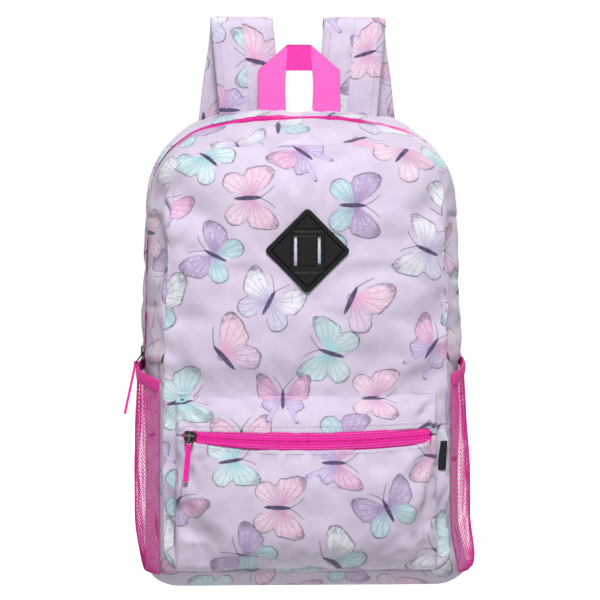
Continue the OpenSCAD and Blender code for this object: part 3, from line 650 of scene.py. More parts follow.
def even(fn, a, b, n):
    """n + 1 parameters between a and b, evenly spaced along the curve fn."""
    ts = np.linspace(a, b, 1500)
    pts = np.array([fn(t)[:] for t in ts])
    run = np.concatenate([[0], np.cumsum(np.linalg.norm(np.diff(pts, axis=0), axis=1))])
    return [float(t) for t in np.interp(np.linspace(0, run[-1], n + 1), run, ts)], float(run[-1])


crown_n = 66
crown_s, _ = even(lambda s: arch(s, y_front), -1, 1, crown_n)
side_s = [2 - i / 26 for i in range(26)]
arch_s = [-s for s in side_s] + crown_s + side_s[::-1]


def lengths(points):
    """How far along the line each point is."""
    run = [0.0]
    for a, b in zip(points, points[1:]):
        run.append(run[-1] + (b - a).length)
    return run


def tangent(points, k):
    return (points[min(k + 1, len(points) - 1)] - points[max(k - 1, 0)]).normalized()


# ---------------------------------------------------------------- front cloth: panel and gusset, one shell


def seam_wave(s, size=0.7):
    return size * (n3(s * 100, 0, 0, 23, 3.1) + 0.5 * n3(s * 100, 9, 0, 9, 7.7))


def front_swell(x, z, w, top):
    up = clamp((z - 290) / max(1.0, top - 290))
    down = clamp((290 - z) / 275)
    side = clamp(abs(x) / w)
    return 14.5 * (1 - side ** 2.8) * (1 - up ** 2.6) * (1 - 0.62 * down ** 1.3)


# The soft folds that the stuffed panel shows: at its top corners, beside the pocket and down the sides
PANEL_FOLDS = [(-124, 352, -78, 316, 15, 7.5), (-108, 384, -66, 368, 10, 2.6), (118, 352, 96, 330, 12, 3.6),
               (-60, 391, -20, 380, 8, 1.6), (25, 382, 70, 392, 8, 1.5), (112, 372, 84, 380, 7, 1.6),
               (-122, 262, -104, 232, 9, 1.8), (122, 268, 104, 240, 9, 2.2), (-96, 176, -118, 214, 8, 2.4),
               (96, 176, 121, 206, 8, 2.6), (60, 196, 100, 182, 7, 1.5), (-50, 190, -88, 180, 7, 1.4),
               (-121, 140, -119, 60, 5, 1.6), (121, 150, 120, 50, 5, 1.8), (-40, 250, -90, 262, 12, 1.4),
               (50, 340, 92, 352, 13, 1.5), (40, 240, 84, 226, 12, 1.3)]


def front_shell():
    """The front panel, and the gusset round it up to the main zip, as one mesh. Returns its cut area too."""
    rows_low, rows_high, gusset_rows = 33, 26, 12
    z_rows = [mix(panel_foot_z, zip_end_z, r / rows_low) for r in range(rows_low)] + \
             [mix(zip_end_z, shoulder_z, r / rows_high) for r in range(rows_high + 1)]
    frac = [(z - panel_foot_z) / (shoulder_z - panel_foot_z) for z in z_rows]
    w_top = side_x(y_front, shoulder_z)
    verts, uvs, pins = [], [], {}

    def add(p, uv, pin=None):
        if pin:
            pins[len(verts)] = pin
        verts.append(p)
        uvs.append(uv)

    for r, f in enumerate(frac):
        for c, s in enumerate(crown_s):
            top = arch(s, y_front)
            a = top.x / w_top
            w0 = side_x(y_front, 30)
            over = max(0.0, abs(a) * w0 - (w0 - corner_r))
            low = 15 + corner_r - math.sqrt(max(0.0, corner_r ** 2 - over ** 2))
            z = mix(low, top.z, f)
            w = side_x(y_front, min(z, shoulder_z))
            x = a * w
            edge = r in (0, len(frac) - 1) or c in (0, crown_n)
            groove = 1.6 if edge else 0.0
            y = panel_y - front_swell(x, z, w, top.z) + groove
            y += 0.8 * n3(x, 0, z, 70, 1.3) * (0 if edge else 1)
            on_patch = abs(x) + abs(z - patch_z) < 40
            on_pocket = abs(x) < 117 and z < 176
            pin = 1.0 if edge or on_patch else (0.9 if on_pocket and z > 169 else None)
            add((x, y, z), (x * MM, z * MM), pin)
    faces = grid_faces(len(frac), crown_n + 1) + grid_faces(gusset_rows, len(arch_s), len(verts))
    run = lengths([arch(s, -20) for s in arch_s])
    last = gusset_rows - 1
    for i in range(gusset_rows):
        for k, s in enumerate(arch_s):
            y = mix(y_front, y_zip - zip_gap(s), i / last)
            p = arch(s, y)
            puff = 1.2 * math.sin(math.pi * i / last) ** 0.7 * (1 - 0.4 * i / last)
            p = p + outward(p) * (puff - (1.3 if i == 0 else 0.0) - 0.2 + 0.4 * seam_wave(s) * (i == last))
            if i == last:
                p.y += 0.4 * seam_wave(s * 1.7, 1.0)
            pin = 1.0 if i in (0, last) or k in (0, len(arch_s) - 1) else None
            add(p, (run[k] * MM + 0.31, (y + 90) * MM), pin)
    o = make("front_cloth", verts, faces, "print", uvs, inner="print_in")
    area = cut_area(o)
    simulate(o, pins, pressure=0.6, shrink=-0.04, frames=30, stiff=8, bending=0.2, cap=7)

    def loose(x, y, z):
        if y > panel_y + 3:
            return 0.9 * smooth((y_zip - 5 - y) / 12)
        k = 1 - 0.85 * math.exp(-(max(0.0, abs(x) + abs(z - patch_z) - 38) / 10) ** 2)
        return k if abs(x) > pocket_hw or z > 180 else 0.3

    crumple(o, PANEL_FOLDS, 1.5, 58, 1.9, loose)
    crumple(o, [], 0.5, 17, 5.1, loose)
    return o, area


front, front_area = front_shell()
surface_y = min((v.co for v in front.data.vertices), key=lambda c: abs(c.x) + abs(c.z - patch_z * MM)).y / MM
thicken(front, 1.2, subdiv=1)
sewn(0.95, front_area)
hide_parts("front_panel_upper", "front_gusset", "front_panel_lower")
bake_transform(front)

# ---------------------------------------------------------------- rear gusset, sides and base


def boot_point(u, y):
    """u: -3 at the top of the left side, through the base, to 3 at the top of the right side."""
    s, h = (1 if u > 0 else -1), abs(u)
    w, b = half_w(y), base_z(y)
    if h <= 1:
        return Vector((s * h * (w - corner_r), y, b))
    if h <= 2:
        a = math.pi / 2 * (h - 1)
        return Vector((s * (w - corner_r + corner_r * math.sin(a)), y, b + corner_r * (1 - math.cos(a))))
    return Vector((s * w, y, mix(b + corner_r, zip_end_z + 3.5, h - 2)))


def boot():
    """The sides under the zip's ends and the base, in one strip."""
    us, _ = even(lambda u: boot_point(u, 0), -3, 3, 122)
    ys = [mix(y_front, y_back, i / 20) for i in range(21)]
    run = lengths([boot_point(u, 0) for u in us])
    rows, uvs = [], []
    for y in ys:
        rows.append([boot_point(u, y) for u in reversed(us)])
        uvs.append([(run[k] * MM + 0.9, y * MM + 0.4) for k in reversed(range(len(us)))])
    o = grid_piece("side_and_base_cloth", rows, "print", uvs, inner="print_in")
    crumple(o, [], 1.0, 40, 6.0, lambda x, y, z: 0.0 if z < 3 or y > y_back - 1 or y < y_front + 1 else 0.7)
    for v in o.data.vertices:
        over = abs(v.co.x / MM) - half_w(v.co.y / MM) + 0.6
        if over > 0:
            v.co.x -= math.copysign(over * MM, v.co.x)
    area = cut_area(o)
    thicken(o, 1.2, subdiv=1)
    sewn(0.62, area)
    return o


def rear_gusset():
    run = lengths([arch(s, 35) for s in arch_s])
    rows, uvs, pins, last = [], [], {}, 9
    for i in range(last + 1):
        row = []
        for k, s in enumerate(arch_s):
            y = mix(y_zip + zip_gap(s) - 0.4, y_back, i / last)
            p = arch(s, y)
            row.append(p + outward(p) * (1.2 * math.sin(math.pi * i / last) + zip_lift(y)))
            if i == 0:
                row[-1].y += 0.5 * seam_wave(s * 1.3 + 5, 1.0)
            if i in (0, last) or k in (0, len(arch_s) - 1):
                pins[i * len(arch_s) + k] = 1.0
        rows.append(row)
        uvs.append([(run[k] * MM + 1.7, row[k].y * MM + 0.1) for k in range(len(arch_s))])
    o = grid_piece("rear_gusset_cloth", rows, "print", uvs, inner="print_in")
    simulate(o, pins, pressure=0.4, shrink=-0.03, frames=18, cap=4)
    folds = [(-40, 436, -14, 424, 5, 1.6), (20, 436, 4, 424, 5, 1.4)]
    crumple(o, folds, 1.1, 30, 2.2, lambda x, y, z: smooth((y_back - y) / 8))
    area = cut_area(o)
    thicken(o, 1.2, subdiv=1)
    sewn(0.9, area)
    return o


boot_o, rear_o = boot(), rear_gusset()
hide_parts("side_panel_left", "side_panel_right", "bottom_panel")
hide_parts("rear_gusset")
for o in (boot_o, rear_o):
    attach(o, "bag")

# ---------------------------------------------------------------- zips


def zip_strip(name, pt, ws, s_list, out):
    """The zip's tape. pt(s, w, out) is the point at s along it, w across it and out of the cloth."""
    rows = [[pt(s, w, out) for s in s_list] for w in ws]
    run = lengths([pt(s, 0, 0) for s in s_list])
    o = grid_piece(name, rows, "tape", [[(run[k] * MM, w * MM) for k in range(len(s_list))] for w in ws])
    return thicken(o, 0.6, inner=False, out=0.0)


TOOTH_PITCH = 1.5
TOOTH = [(-0.52, -0.4), (-0.52, 0.6), (-0.24, 1.35), (0.24, 1.35), (0.52, 0.6), (0.52, -0.4), (0.2, -0.9),
         (-0.2, -0.9)]


def teeth(name, pt, s_of, length, sign):
    """One half of a nylon coil: rounded teeth that reach just past the middle of the zip."""
    verts, faces = [], []
    for i in range(int(length / TOOTH_PITCH)):
        mid = (i + (0.25 if sign > 0 else 0.75)) * TOOTH_PITCH
        base = len(verts)
        for w, big in ((-0.5, 0.5), (0.1, 0.66), (2.4, 0.8), (2.9, 0.6)):
            verts += [pt(s_of(mid + ds * big), sign * w, do * big) for ds, do in TOOTH]
        faces += grid_faces(4, 8, base, closed=True)
        faces += [tuple(base + k for k in range(8)), tuple(base + 24 + k for k in reversed(range(8)))]
    return make(name, verts, faces, "teeth")


def stitches(name, points, normals, mat="thread", length=2.5, gap=1.1, r=0.26, lift=0.1):
    """A row of sewn stitches along a line on the cloth."""
    run = lengths(points)
    verts, faces, at = [], [], 0.0
    pts, nor = np.array([p[:] for p in points]), np.array([n[:] for n in normals])
    on_line = lambda values, where: Vector([np.interp(where, run, values[:, k]) for k in range(3)])
    while at + length < run[-1]:
        faces += grid_faces(4, 6, len(verts), closed=True)
        for where, big, up in ((at, 0.35, -0.15), (at + 0.3, 1.0, 0.6), (at + length - 0.3, 1.0, 0.6),
                               (at + length, 0.35, -0.15)):
            n = on_line(nor, where).normalized()
            side = (on_line(pts, where + 0.05) - on_line(pts, where - 0.05)).cross(n).normalized()
            for k in range(6):
                a = 2 * math.pi * k / 6
                high, wide = lift + up * r + r * big * math.sin(a), 1.25 * r * big * math.cos(a)
                verts.append(on_line(pts, where) + n * high + side * wide)
        at += length + gap
    return make(name, verts, faces, mat)


def mesh_line(o, indices):
    """Points and normals, in millimetres, along a row of a mesh's vertices."""
    vs = o.data.vertices
    return [vs[i].co / MM for i in indices], [vs[i].normal.copy() for i in indices]


zip_s, zip_len = even(lambda s: arch(s, y_zip), -1.985, 1.985, 260)


def main_pt(s, w, out):
    p = arch(clamp(s, -2, 2), y_zip + w)
    return p + outward(p) * (zip_lift(y_zip + clamp(w, -6, 6)) - 1.3 + out)


def main_s(mm): return float(np.interp(mm, np.linspace(0, zip_len, 261), zip_s))


for side, body in ((-1, None), (1, "bag")):
    ws = [side * w for w in (0.6, 1.6, 3.2, 4.6, 7.5)]
    tape = zip_strip(f"main_tape_{'rear' if body else 'front'}", main_pt, ws, zip_s, 0.0)
    coil = teeth(f"main_teeth_{'rear' if body else 'front'}", main_pt, main_s, zip_len, side)
    for o in (tape, coil):
        if body:
            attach(o, "bag")
        else:
            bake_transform(o)
    if body:
        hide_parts("rear_zip_tape")
        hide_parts("rear_zip_coil")
    else:
        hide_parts("front_zip_tape", "front_zip_ends")
        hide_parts("front_zip_coil")

# ---------------------------------------------------------------- front pocket

# The zip lies on an arc, in a plane that tilts, and its tape leans back from it
zip_x, arc_r, tape_end_x, teeth_end_x = 109.0, 330.0, 110.0, 108.8
tilt, lean = math.radians(15), math.radians(22)
arc_mid = Vector((0, panel_y - 34.0, 132.0))
arc_c = arc_mid + Vector((0, arc_r * math.cos(tilt), arc_r * math.sin(tilt)))
foot_z = 15.5


def pocket_pt(a, w, out):
    r, h = arc_r - w * math.sin(lean) + out * math.cos(lean), w * math.cos(lean) + out * math.sin(lean)
    return arc_c + Vector((r * math.sin(a), -r * math.cos(a) * math.cos(tilt) - h * math.sin(tilt),
                           -r * math.cos(a) * math.sin(tilt) + h * math.cos(tilt)))


def tape_shown(x):
    """Half of the tape's width that shows between the cloth edges, which close in at the ends."""
    return 7.2 * (1 - (0.55 if x < 0 else 0.14) * clamp(abs(x) / zip_x) ** (2.6 if x < 0 else 4)) \
        * smooth((tape_end_x - abs(x)) / 2.0)


def pocket_tape(a, w, out):
    """The tape: it narrows towards its ends, under the cloth."""
    return pocket_pt(a, math.copysign(min(abs(w), tape_shown(arc_r * math.sin(a)) + 0.9), w), out)


def pocket_edge(x, sign):
    a = math.asin(clamp(x, -113, 113) / arc_r)
    p = pocket_pt(a, sign * (tape_shown(x) + 0.05 + 0.3 * n3(x, 0, 3 * sign, 16)), 0.8)
    t = max(0.0, (abs(x) - 112.6) / (pocket_hw - 112.6))
    return Vector((x, mix(panel_y, p.y, math.sqrt(max(0.0, 1 - t * t))), p.z))


def edge_columns(n):
    """Columns across the pocket, closer together at its sides."""
    def eased(t):
        if abs(t) < 0.9:
            return t
        return math.copysign(0.9 + 0.1 * math.sin(math.pi / 2 * (abs(t) - 0.9) / 0.1), t)

    return [pocket_hw * eased(2 * i / n - 1) for i in range(n + 1)]


POCKET_FOLDS = [(110, 122, 86, 94, 6, 3.4), (113, 90, 96, 58, 7, 3.6), (80, 60, 108, 30, 8, 3.2),
                (112, 106, 104, 70, 4, 2.2), (-112, 112, -98, 84, 6, 2.8), (-108, 60, -86, 30, 8, 3.0),
                (-113, 84, -104, 50, 6, 2.4), (-80, 22, -30, 27, 6, 2.0), (20, 25, 74, 21, 6, 2.2),
                (-60, 118, -20, 108, 9, 1.3), (30, 106, 70, 116, 9, 1.4), (-30, 60, 10, 72, 13, 1.5),
                (40, 80, 64, 54, 12, 1.5)]
STRIP_FOLDS = [(-114, 172, -92, 148, 4.5, 3.9), (-104, 173, -88, 162, 4, 2.8), (-113, 154, -98, 144, 4, 2.8),
               (112, 168, 100, 152, 4, 2.8), (104, 173, 84, 162, 5, 2.0), (-70, 173, -50, 154, 8, 1.4),
               (30, 172, 52, 156, 8, 1.4)]


def pocket_face():
    n, m = 62, 30
    wide = n + 1
    xs = edge_columns(n)
    rows, uvs, pins = [], [], {}
    for r in range(m + 1):
        v, row = r / m, []
        for c, x in enumerate(xs):
            e = pocket_edge(x, -1)
            full = max(0.0, 1 - v ** 3.2) ** (1 / 3.2)
            belly = 4.5 * math.sin(math.pi * v ** 0.8) * max(0.0, 1 - abs(x / pocket_hw) ** 4)
            out = (panel_y - e.y) * full + belly
            z = mix(e.z, foot_z, v)
            out += (1.4 * n3(x, 0, z, 42, 8.8) + 0.7 * n3(x, 0, z, 18, 2.2)) * math.sin(math.pi * v)
            row.append(Vector((x, panel_y - out, z)))
            if r in (0, m) or c in (0, n):
                pins[(m - r) * wide + c] = 1.0
            elif r == 1:
                pins[(m - r) * wide + c] = 0.7
        rows.append(row)
        uvs.append([(x * MM + 2.3, row[c].z * MM + 0.01) for c, x in enumerate(xs)])
    rows.reverse()
    uvs.reverse()
    o = grid_piece("pocket_cloth", rows, "print", uvs, inner="print_in")
    area = cut_area(o)
    simulate(o, pins, pressure=0.5, shrink=-0.045, frames=28, stiff=8, bending=0.2, cap=6)
    sides = lambda x, z: smooth((pocket_hw - abs(x)) / 4) * smooth((z - foot_z) / 6)
    rim = lambda x, y, z: sides(x, z) * smooth((panel_y - 2 - y) / 6)
    crumple(o, POCKET_FOLDS, 1.3, 46, 4.1, rim)
    crumple(o, [], 0.5, 15, 8.1, rim)
    line = mesh_line(o, [(m - 1) * wide + c for c in range(2, n - 1)])
    side_l, side_r = [mesh_line(o, [r * wide + c for r in range(1, m)]) for c in (4, n - 4)]
    thicken(o, 1.2, subdiv=1)
    sewn(0.3, area)
    return o, (line, side_l, side_r)


pocket, pocket_lines = pocket_face()
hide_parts("pocket_front")
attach(pocket, "bag")
for i, (pts, nor) in enumerate(pocket_lines):
    o = stitches(f"pocket_stitches_{i}", pts, nor)
    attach(o, "bag")


def over_zip():
    """The cloth over the pocket zip, right across the pocket."""
    xs = edge_columns(124)
    rows = []
    for r in range(19):
        v = r / 18
        row = []
        for x in xs:
            e = pocket_edge(x, 1)
            deep = panel_y - e.y
            ridge = (0, 0.9, 1.5, -0.8)[max(0, r - 15)]
            row.append(Vector((x, mix(e.y, panel_y - 1.2, v ** 1.7) - ridge,
                               mix(e.z, pocket_h, v) + 0.13 * deep * math.sin(math.pi * v))))
        rows.append(row)
    deep = lengths([rows[r][62] for r in range(19)])
    uvs = [[(x * MM, (deep[r] + 132) * MM) for x in xs] for r in range(19)]
    o = grid_piece("pocket_over_zip", rows, "print", uvs, inner="print_in")
    area = cut_area(o)
    low_edge = lambda x, z: smooth((pocket_hw - abs(x)) / 3) * smooth((z - 134) / 6)
    loose = lambda x, y, z: low_edge(x, z) * smooth((pocket_h - z) / 5)
    crumple(o, STRIP_FOLDS, 1.6, 30, 3.7, loose)
    crumple(o, [], 0.6, 12, 1.7, loose)
    return o, area


def halves(o):
    """Cuts a finished piece down the middle, keeping the normals that it had whole."""
    parts = []
    for sign, word in ((-1, "left"), (1, "right")):
        me = o.data.copy()
        bm = bmesh.new()
        bm.from_mesh(me)
        keep = bm.verts.layers.float_vector.new("whole_normal")
        for v in bm.verts:
            v[keep] = v.normal
        beyond = [f for f in bm.faces if f.calc_center_median().x * sign < 0]
        bmesh.ops.delete(bm, geom=beyond, context="FACES")
        bmesh.ops.holes_fill(bm, edges=[e for e in bm.edges if e.is_boundary])
        bm.to_mesh(me)
        bm.free()
        part = bpy.data.objects.new(f"{o.name}_{word}", me)
        scene.collection.objects.link(part)
        me.normals_split_custom_set_from_vertices([d.vector for d in me.attributes["whole_normal"].data])
        me.attributes.remove(me.attributes["whole_normal"])
        parts.append(part)
    bpy.data.objects.remove(o)
    return parts


whole_strip, strip_area = over_zip()
n_cols = 125
edge_line = mesh_line(whole_strip, [2 * n_cols + c for c in range(3, n_cols - 3)])
top_line = mesh_line(whole_strip, [16 * n_cols + c for c in range(3, n_cols - 3)])
strips = halves(thicken(whole_strip, 1.2, subdiv=1))
span = math.asin(teeth_end_x / arc_r)


def half_line(line, left):
    return zip(*[(p, n) for p, n in zip(*line) if (p.x < 0) == left])


for sign, word in ((-1, "left"), (1, "right")):
    across = dict(start=(sign * 0.0955, -0.07, 0.14), end=(sign * 0.052, -0.07, 0.14))
    strip = strips[0] if sign < 0 else strips[1]
    sewn(0.13, strip_area / 2)
    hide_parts(f"pocket_end_{word}", *(["pocket_mouth_strip"] if sign < 0 else []))
    rows = [stitches(f"over_zip_stitches_{k}_{word}", *half_line(line, sign < 0))
            for k, line in enumerate((edge_line, top_line))]
    angles = [sign * span * i / 80 for i in range(81)]
    if sign < 0:
        angles.reverse()
    tape = zip_strip(f"pocket_tape_upper_{word}", pocket_tape, [0.6, 1.6, 3.2, 5.2, 8.0], angles, 0.4)
    a0 = -span if sign < 0 else 0.0
    coil = teeth(f"pocket_teeth_upper_{word}", pocket_pt, lambda mm, a0=a0: a0 + mm / arc_r, span * arc_r, 1)
    if sign < 0:
        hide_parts("pocket_tape_upper")
        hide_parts("pocket_coil_upper")
    else:
        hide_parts("pocket_tape_ends")
    for o in (strip, *rows, tape, coil):
        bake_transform(o)
angles = [mix(-span, span, i / 160) for i in range(161)]
low_tape = zip_strip("pocket_tape_lower", pocket_tape, [-0.6, -1.6, -3.2, -5.2, -8.0], angles, 0.4)
low_coil = teeth("pocket_teeth_lower", pocket_pt, lambda mm: -span + mm / arc_r, 2 * span * arc_r, -1)
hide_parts("pocket_tape_lower")
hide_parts("pocket_coil_lower")
for o in (low_tape, low_coil):
    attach(o, "bag")

# ---------------------------------------------------------------- lash patch


def lash_patch():
    """Moulded rubber: a raised rim, a sunk field with four raised triangles, and a bridge with two slots."""
    side, r = 54.0, 4.0                      # the square's side and its corners' radius
    slot_x, slot_hw, slot_hl = 10.5, 1.35, 12.8
    n = 150
    half = side / 2
    rot = Matrix.Rotation(math.radians(45), 2)
    place = {}

    def height(a, b):
        q = rot @ Vector((a, b))
        edge = half - max(abs(a), abs(b))
        z = 2.2
        z += 1.0 * smooth(edge / 0.5) - 1.2 * smooth((edge - 3.6) / 0.7)
        x, y = abs(q.x), abs(q.y)
        tri = min(x - 14.6, half * 1.414 - 6.6 - x - y)
        tri2 = min(y - 19.0, half * 1.414 - 6.6 - x - y)
        z += 1.2 * smooth(max(tri, tri2) / 0.6)
        z += 0.7 * smooth(min(8.6 - x, 13.6 - y) / 0.6)
        z += 0.9 * smooth(min(12.6 - x, 1.6 - abs(q.y - 15.6)) / 0.5)
        return z

    verts, faces, uvs = [], [], []
    for j in range(n + 1):
        for i in range(n + 1):
            a, b = mix(-half, half, i / n), mix(-half, half, j / n)
            ca, cb = max(0.0, abs(a) - (half - r)), max(0.0, abs(b) - (half - r))
            if ca > 0 and cb > 0:
                k = r / max(r, math.hypot(ca, cb))
                a, b = math.copysign(half - r + ca * k, a), math.copysign(half - r + cb * k, b)
            q = rot @ Vector((a, b))
            place[i, j] = q
            verts.append((q.x, surface_y + 0.4 - height(a, b), patch_z + q.y))
            uvs.append((q.x * MM, q.y * MM))
    for j in range(n):
        for i in range(n):
            c, k = (place[i, j] + place[i + 1, j + 1]) / 2, j * (n + 1) + i
            if abs(abs(c.x) - slot_x) >= slot_hw or abs(c.y) >= slot_hl:
                faces.append((k, k + 1, k + n + 2, k + n + 1))
    o = make("lash_patch_moulding", verts, faces, "rubber", uvs)
    bm = bmesh.new()
    bm.from_mesh(o.data)
    rim = [e for e in bm.edges if e.is_boundary]
    out = bmesh.ops.extrude_edge_only(bm, edges=rim)
    for v in (g for g in out["geom"] if isinstance(g, bmesh.types.BMVert)):
        v.co.y = (surface_y + 1.2) * MM
    bmesh.ops.recalc_face_normals(bm, faces=bm.faces)
    bm.to_mesh(o.data)
    bm.free()
    modifier(o, "EDGE_SPLIT", split_angle=math.radians(50))
    return bake(o)


patch = lash_patch()
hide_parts("lash_patch")
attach(patch, "flap")

# ---------------------------------------------------------------- bands: webbing for the handle and the straps


def band(name, path, w, across, t, mat, segs=8, subdiv=1):
    """A flat band along a path of points, with a soft edge. across is its width's direction."""
    run = lengths(path)
    rows_a, rows_b, uv = [], [], []
    for k, p in enumerate(path):
        ac = across[k] if isinstance(across, list) else across
        nor = ac.cross(tangent(path, k)).normalized()
        ra, rb = [], []
        for j in range(segs + 1):
            e = 2 * j / segs - 1
            half = t / 2 * (1 - 0.35 * abs(e) ** 8)
            ra.append(p + ac * (e * w / 2) + nor * half)
            rb.append(p + ac * (e * w / 2) - nor * half)
        rows_a.append(ra)
        rows_b.append(rb)
        uv.append([((2 * j / segs - 1) * w / 2 * MM, run[k] * MM) for j in range(segs + 1)])
    n, c = len(path), segs + 1
    verts = [v for row in rows_a for v in row] + [v for row in rows_b for v in row]
    uvs = [q for row in uv for q in row] * 2
    faces = grid_faces(n, c) + [tuple(reversed(f)) for f in grid_faces(n, c, n * c)]
    for k in range(n - 1):
        for j in (0, segs):
            a, b = k * c + j, (k + 1) * c + j
            f = (a, b, b + n * c, a + n * c)
            faces.append(f if j == 0 else tuple(reversed(f)))
    for k in (0, n - 1):
        for j in range(segs):
            a, b = k * c + j, k * c + j + 1
            f = (a, b, b + n * c, a + n * c)
            faces.append(tuple(reversed(f)) if k == 0 else f)
    o = make(name, verts, faces, mat, uvs)
    if subdiv:
        modifier(o, "SUBSURF", levels=subdiv, render_levels=subdiv)
        bake(o)
    return o


def curve_path(points, n):
    """A smooth path through the points, evenly spaced."""
    pts = [Vector(p) for p in points]
    ext = [pts[0] * 2 - pts[1]] + pts + [pts[-1] * 2 - pts[-2]]
    dense = []
    for i in range(1, len(ext) - 2):
        for k in range(24):
            t = k / 24
            a, b, c, d = ext[i - 1:i + 3]
            square, cube = 2 * a - 5 * b + 4 * c - d, 3 * b - a - 3 * c + d
            dense.append(0.5 * (2 * b + (c - a) * t + square * t * t + cube * t ** 3))
    dense.append(pts[-1])
    run, arr = lengths(dense), np.array([p[:] for p in dense])
    return [Vector([np.interp(s, run, arr[:, k]) for k in range(3)]) for s in np.linspace(0, run[-1], n)]


X = Vector((1, 0, 0))
handle_at = Vector((0, 53.5, 432.6))
rise, outer_hw = 55.5, 37.5


def handle():
    """Webbing folded over at 45 degrees at both corners, with its cross piece behind the legs."""
    def quad_patch(name, mat, patches):
        verts, faces, uvs = [], [], []
        for corners, depth, uv_of, shape, n, m in patches:
            base = len(verts)
            a, b, c, d = [Vector(p) for p in corners]
            for layer in (0, 1):
                for i in range(n + 1):
                    for j in range(m + 1):
                        u, v = i / n, j / m
                        p = shape(a.lerp(b, u).lerp(d.lerp(c, u), v), u)
                        e = min(min(u, 1 - u) * (b - a).length, min(v, 1 - v) * (d - a).length, 1.2) / 1.2
                        half = 0.85 * (0.55 + 0.45 * math.sqrt(clamp(e)))
                        verts.append(Vector((p.x, depth(p) + (half if layer else -half), p.y)))
                        q = uv_of(p)
                        uvs.append((q[0] * MM, q[1] * MM))
            c1, size = m + 1, (n + 1) * (m + 1)
            f = grid_faces(n + 1, c1, base)
            faces.extend(f)
            faces.extend(tuple(i + size for i in reversed(q)) for q in f)
            rim = [(i * c1, (i + 1) * c1) for i in range(n)] + \
                [((n - i) * c1 + m, (n - i - 1) * c1 + m) for i in range(n)] + \
                [(n * c1 + j, n * c1 + j + 1) for j in range(m)] + [(m - j, m - j - 1) for j in range(m)]
            faces.extend((base + q, base + p, base + size + p, base + size + q) for p, q in rim)
        turn = Matrix.Rotation(math.radians(-2.5), 3, "X")
        return make(name, [turn @ v + handle_at for v in verts], faces, mat, uvs)

    bow = lambda p: 1.2 * math.sin(math.pi * clamp(p.y / rise)) + 0.5 * n3(p.x, p.y, 0, 30, 6.6)
    bulge = lambda p, u: Vector((p.x * (1 + 0.10 * u * math.sin(math.pi * clamp(p.y / (rise - 14)))), p.y))
    legs = [([(s * outer_hw, -15), (s * 12.6, -15), (s * 10.5, rise), (s * outer_hw, rise - 24)],
             lambda p: -1.0 - bow(p), lambda p: (p.x, p.y), bulge, 12, 30) for s in (-1, 1)]
    # The cross piece takes the darker cross webbing: painted shade behind the legs
    top = [([(-outer_hw, rise - 24), (outer_hw, rise - 24), (10.5, rise), (-10.5, rise)],
            lambda p: 0.75 - bow(p), lambda p: (p.y, p.x), lambda p, u: p, 30, 12)]
    return quad_patch("handle_webbing", "webbing", legs), quad_patch("handle_cross_webbing", "cross", top)


grips = handle()
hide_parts("grab_handle")
for grip in grips:
    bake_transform(grip)

# ---------------------------------------------------------------- shoulder straps

fold_y, fold_r, pad_t = 70.0, 8.0, 8.0
fold_cz = 514 - fold_r - 1.6
strap_hw = 28.5
# Down the strap's rear part: x, y, z and half width
REAR = [(54, 78.5, 485, strap_hw), (58, 81, 460, strap_hw), (62, 84, 425, strap_hw), (68, 88, 385, strap_hw),
        (75, 91, 340, 29), (80, 92, 300, strap_hw), (85, 90, 262, 26), (88, 86.5, 232, 21),
        (89.5, 84, 214, 15), (90, 84, 209, 13.5)]


def strap_path(side):
    """The strap's middle line, from its foot on the back over the fold to its end, and its half widths."""
    front_x = lambda z: mix(44, 52, (z - 424) / 84)
    pts = [(side * front_x(z), y, z, strap_hw) for z, y in
           ((408, 62.3), (424, 62.3), (440, 62.3), (460, 62), (480, 62), (494, 62))]
    for a in map(math.radians, (12, 36, 60, 90, 120, 144, 168)):
        pts.append((side * 52, fold_y - fold_r * math.cos(a), fold_cz + fold_r * math.sin(a), strap_hw))
    pts += [(side * x, y, z, w) for x, y, z, w in REAR]
    path = curve_path([p[:3] for p in pts], 150)
    knots, run = lengths([Vector(p[:3]) for p in pts]), lengths(path)
    width = [float(np.interp(r / run[-1] * knots[-1], knots, [p[3] for p in pts])) for r in run]
    return path, width, run


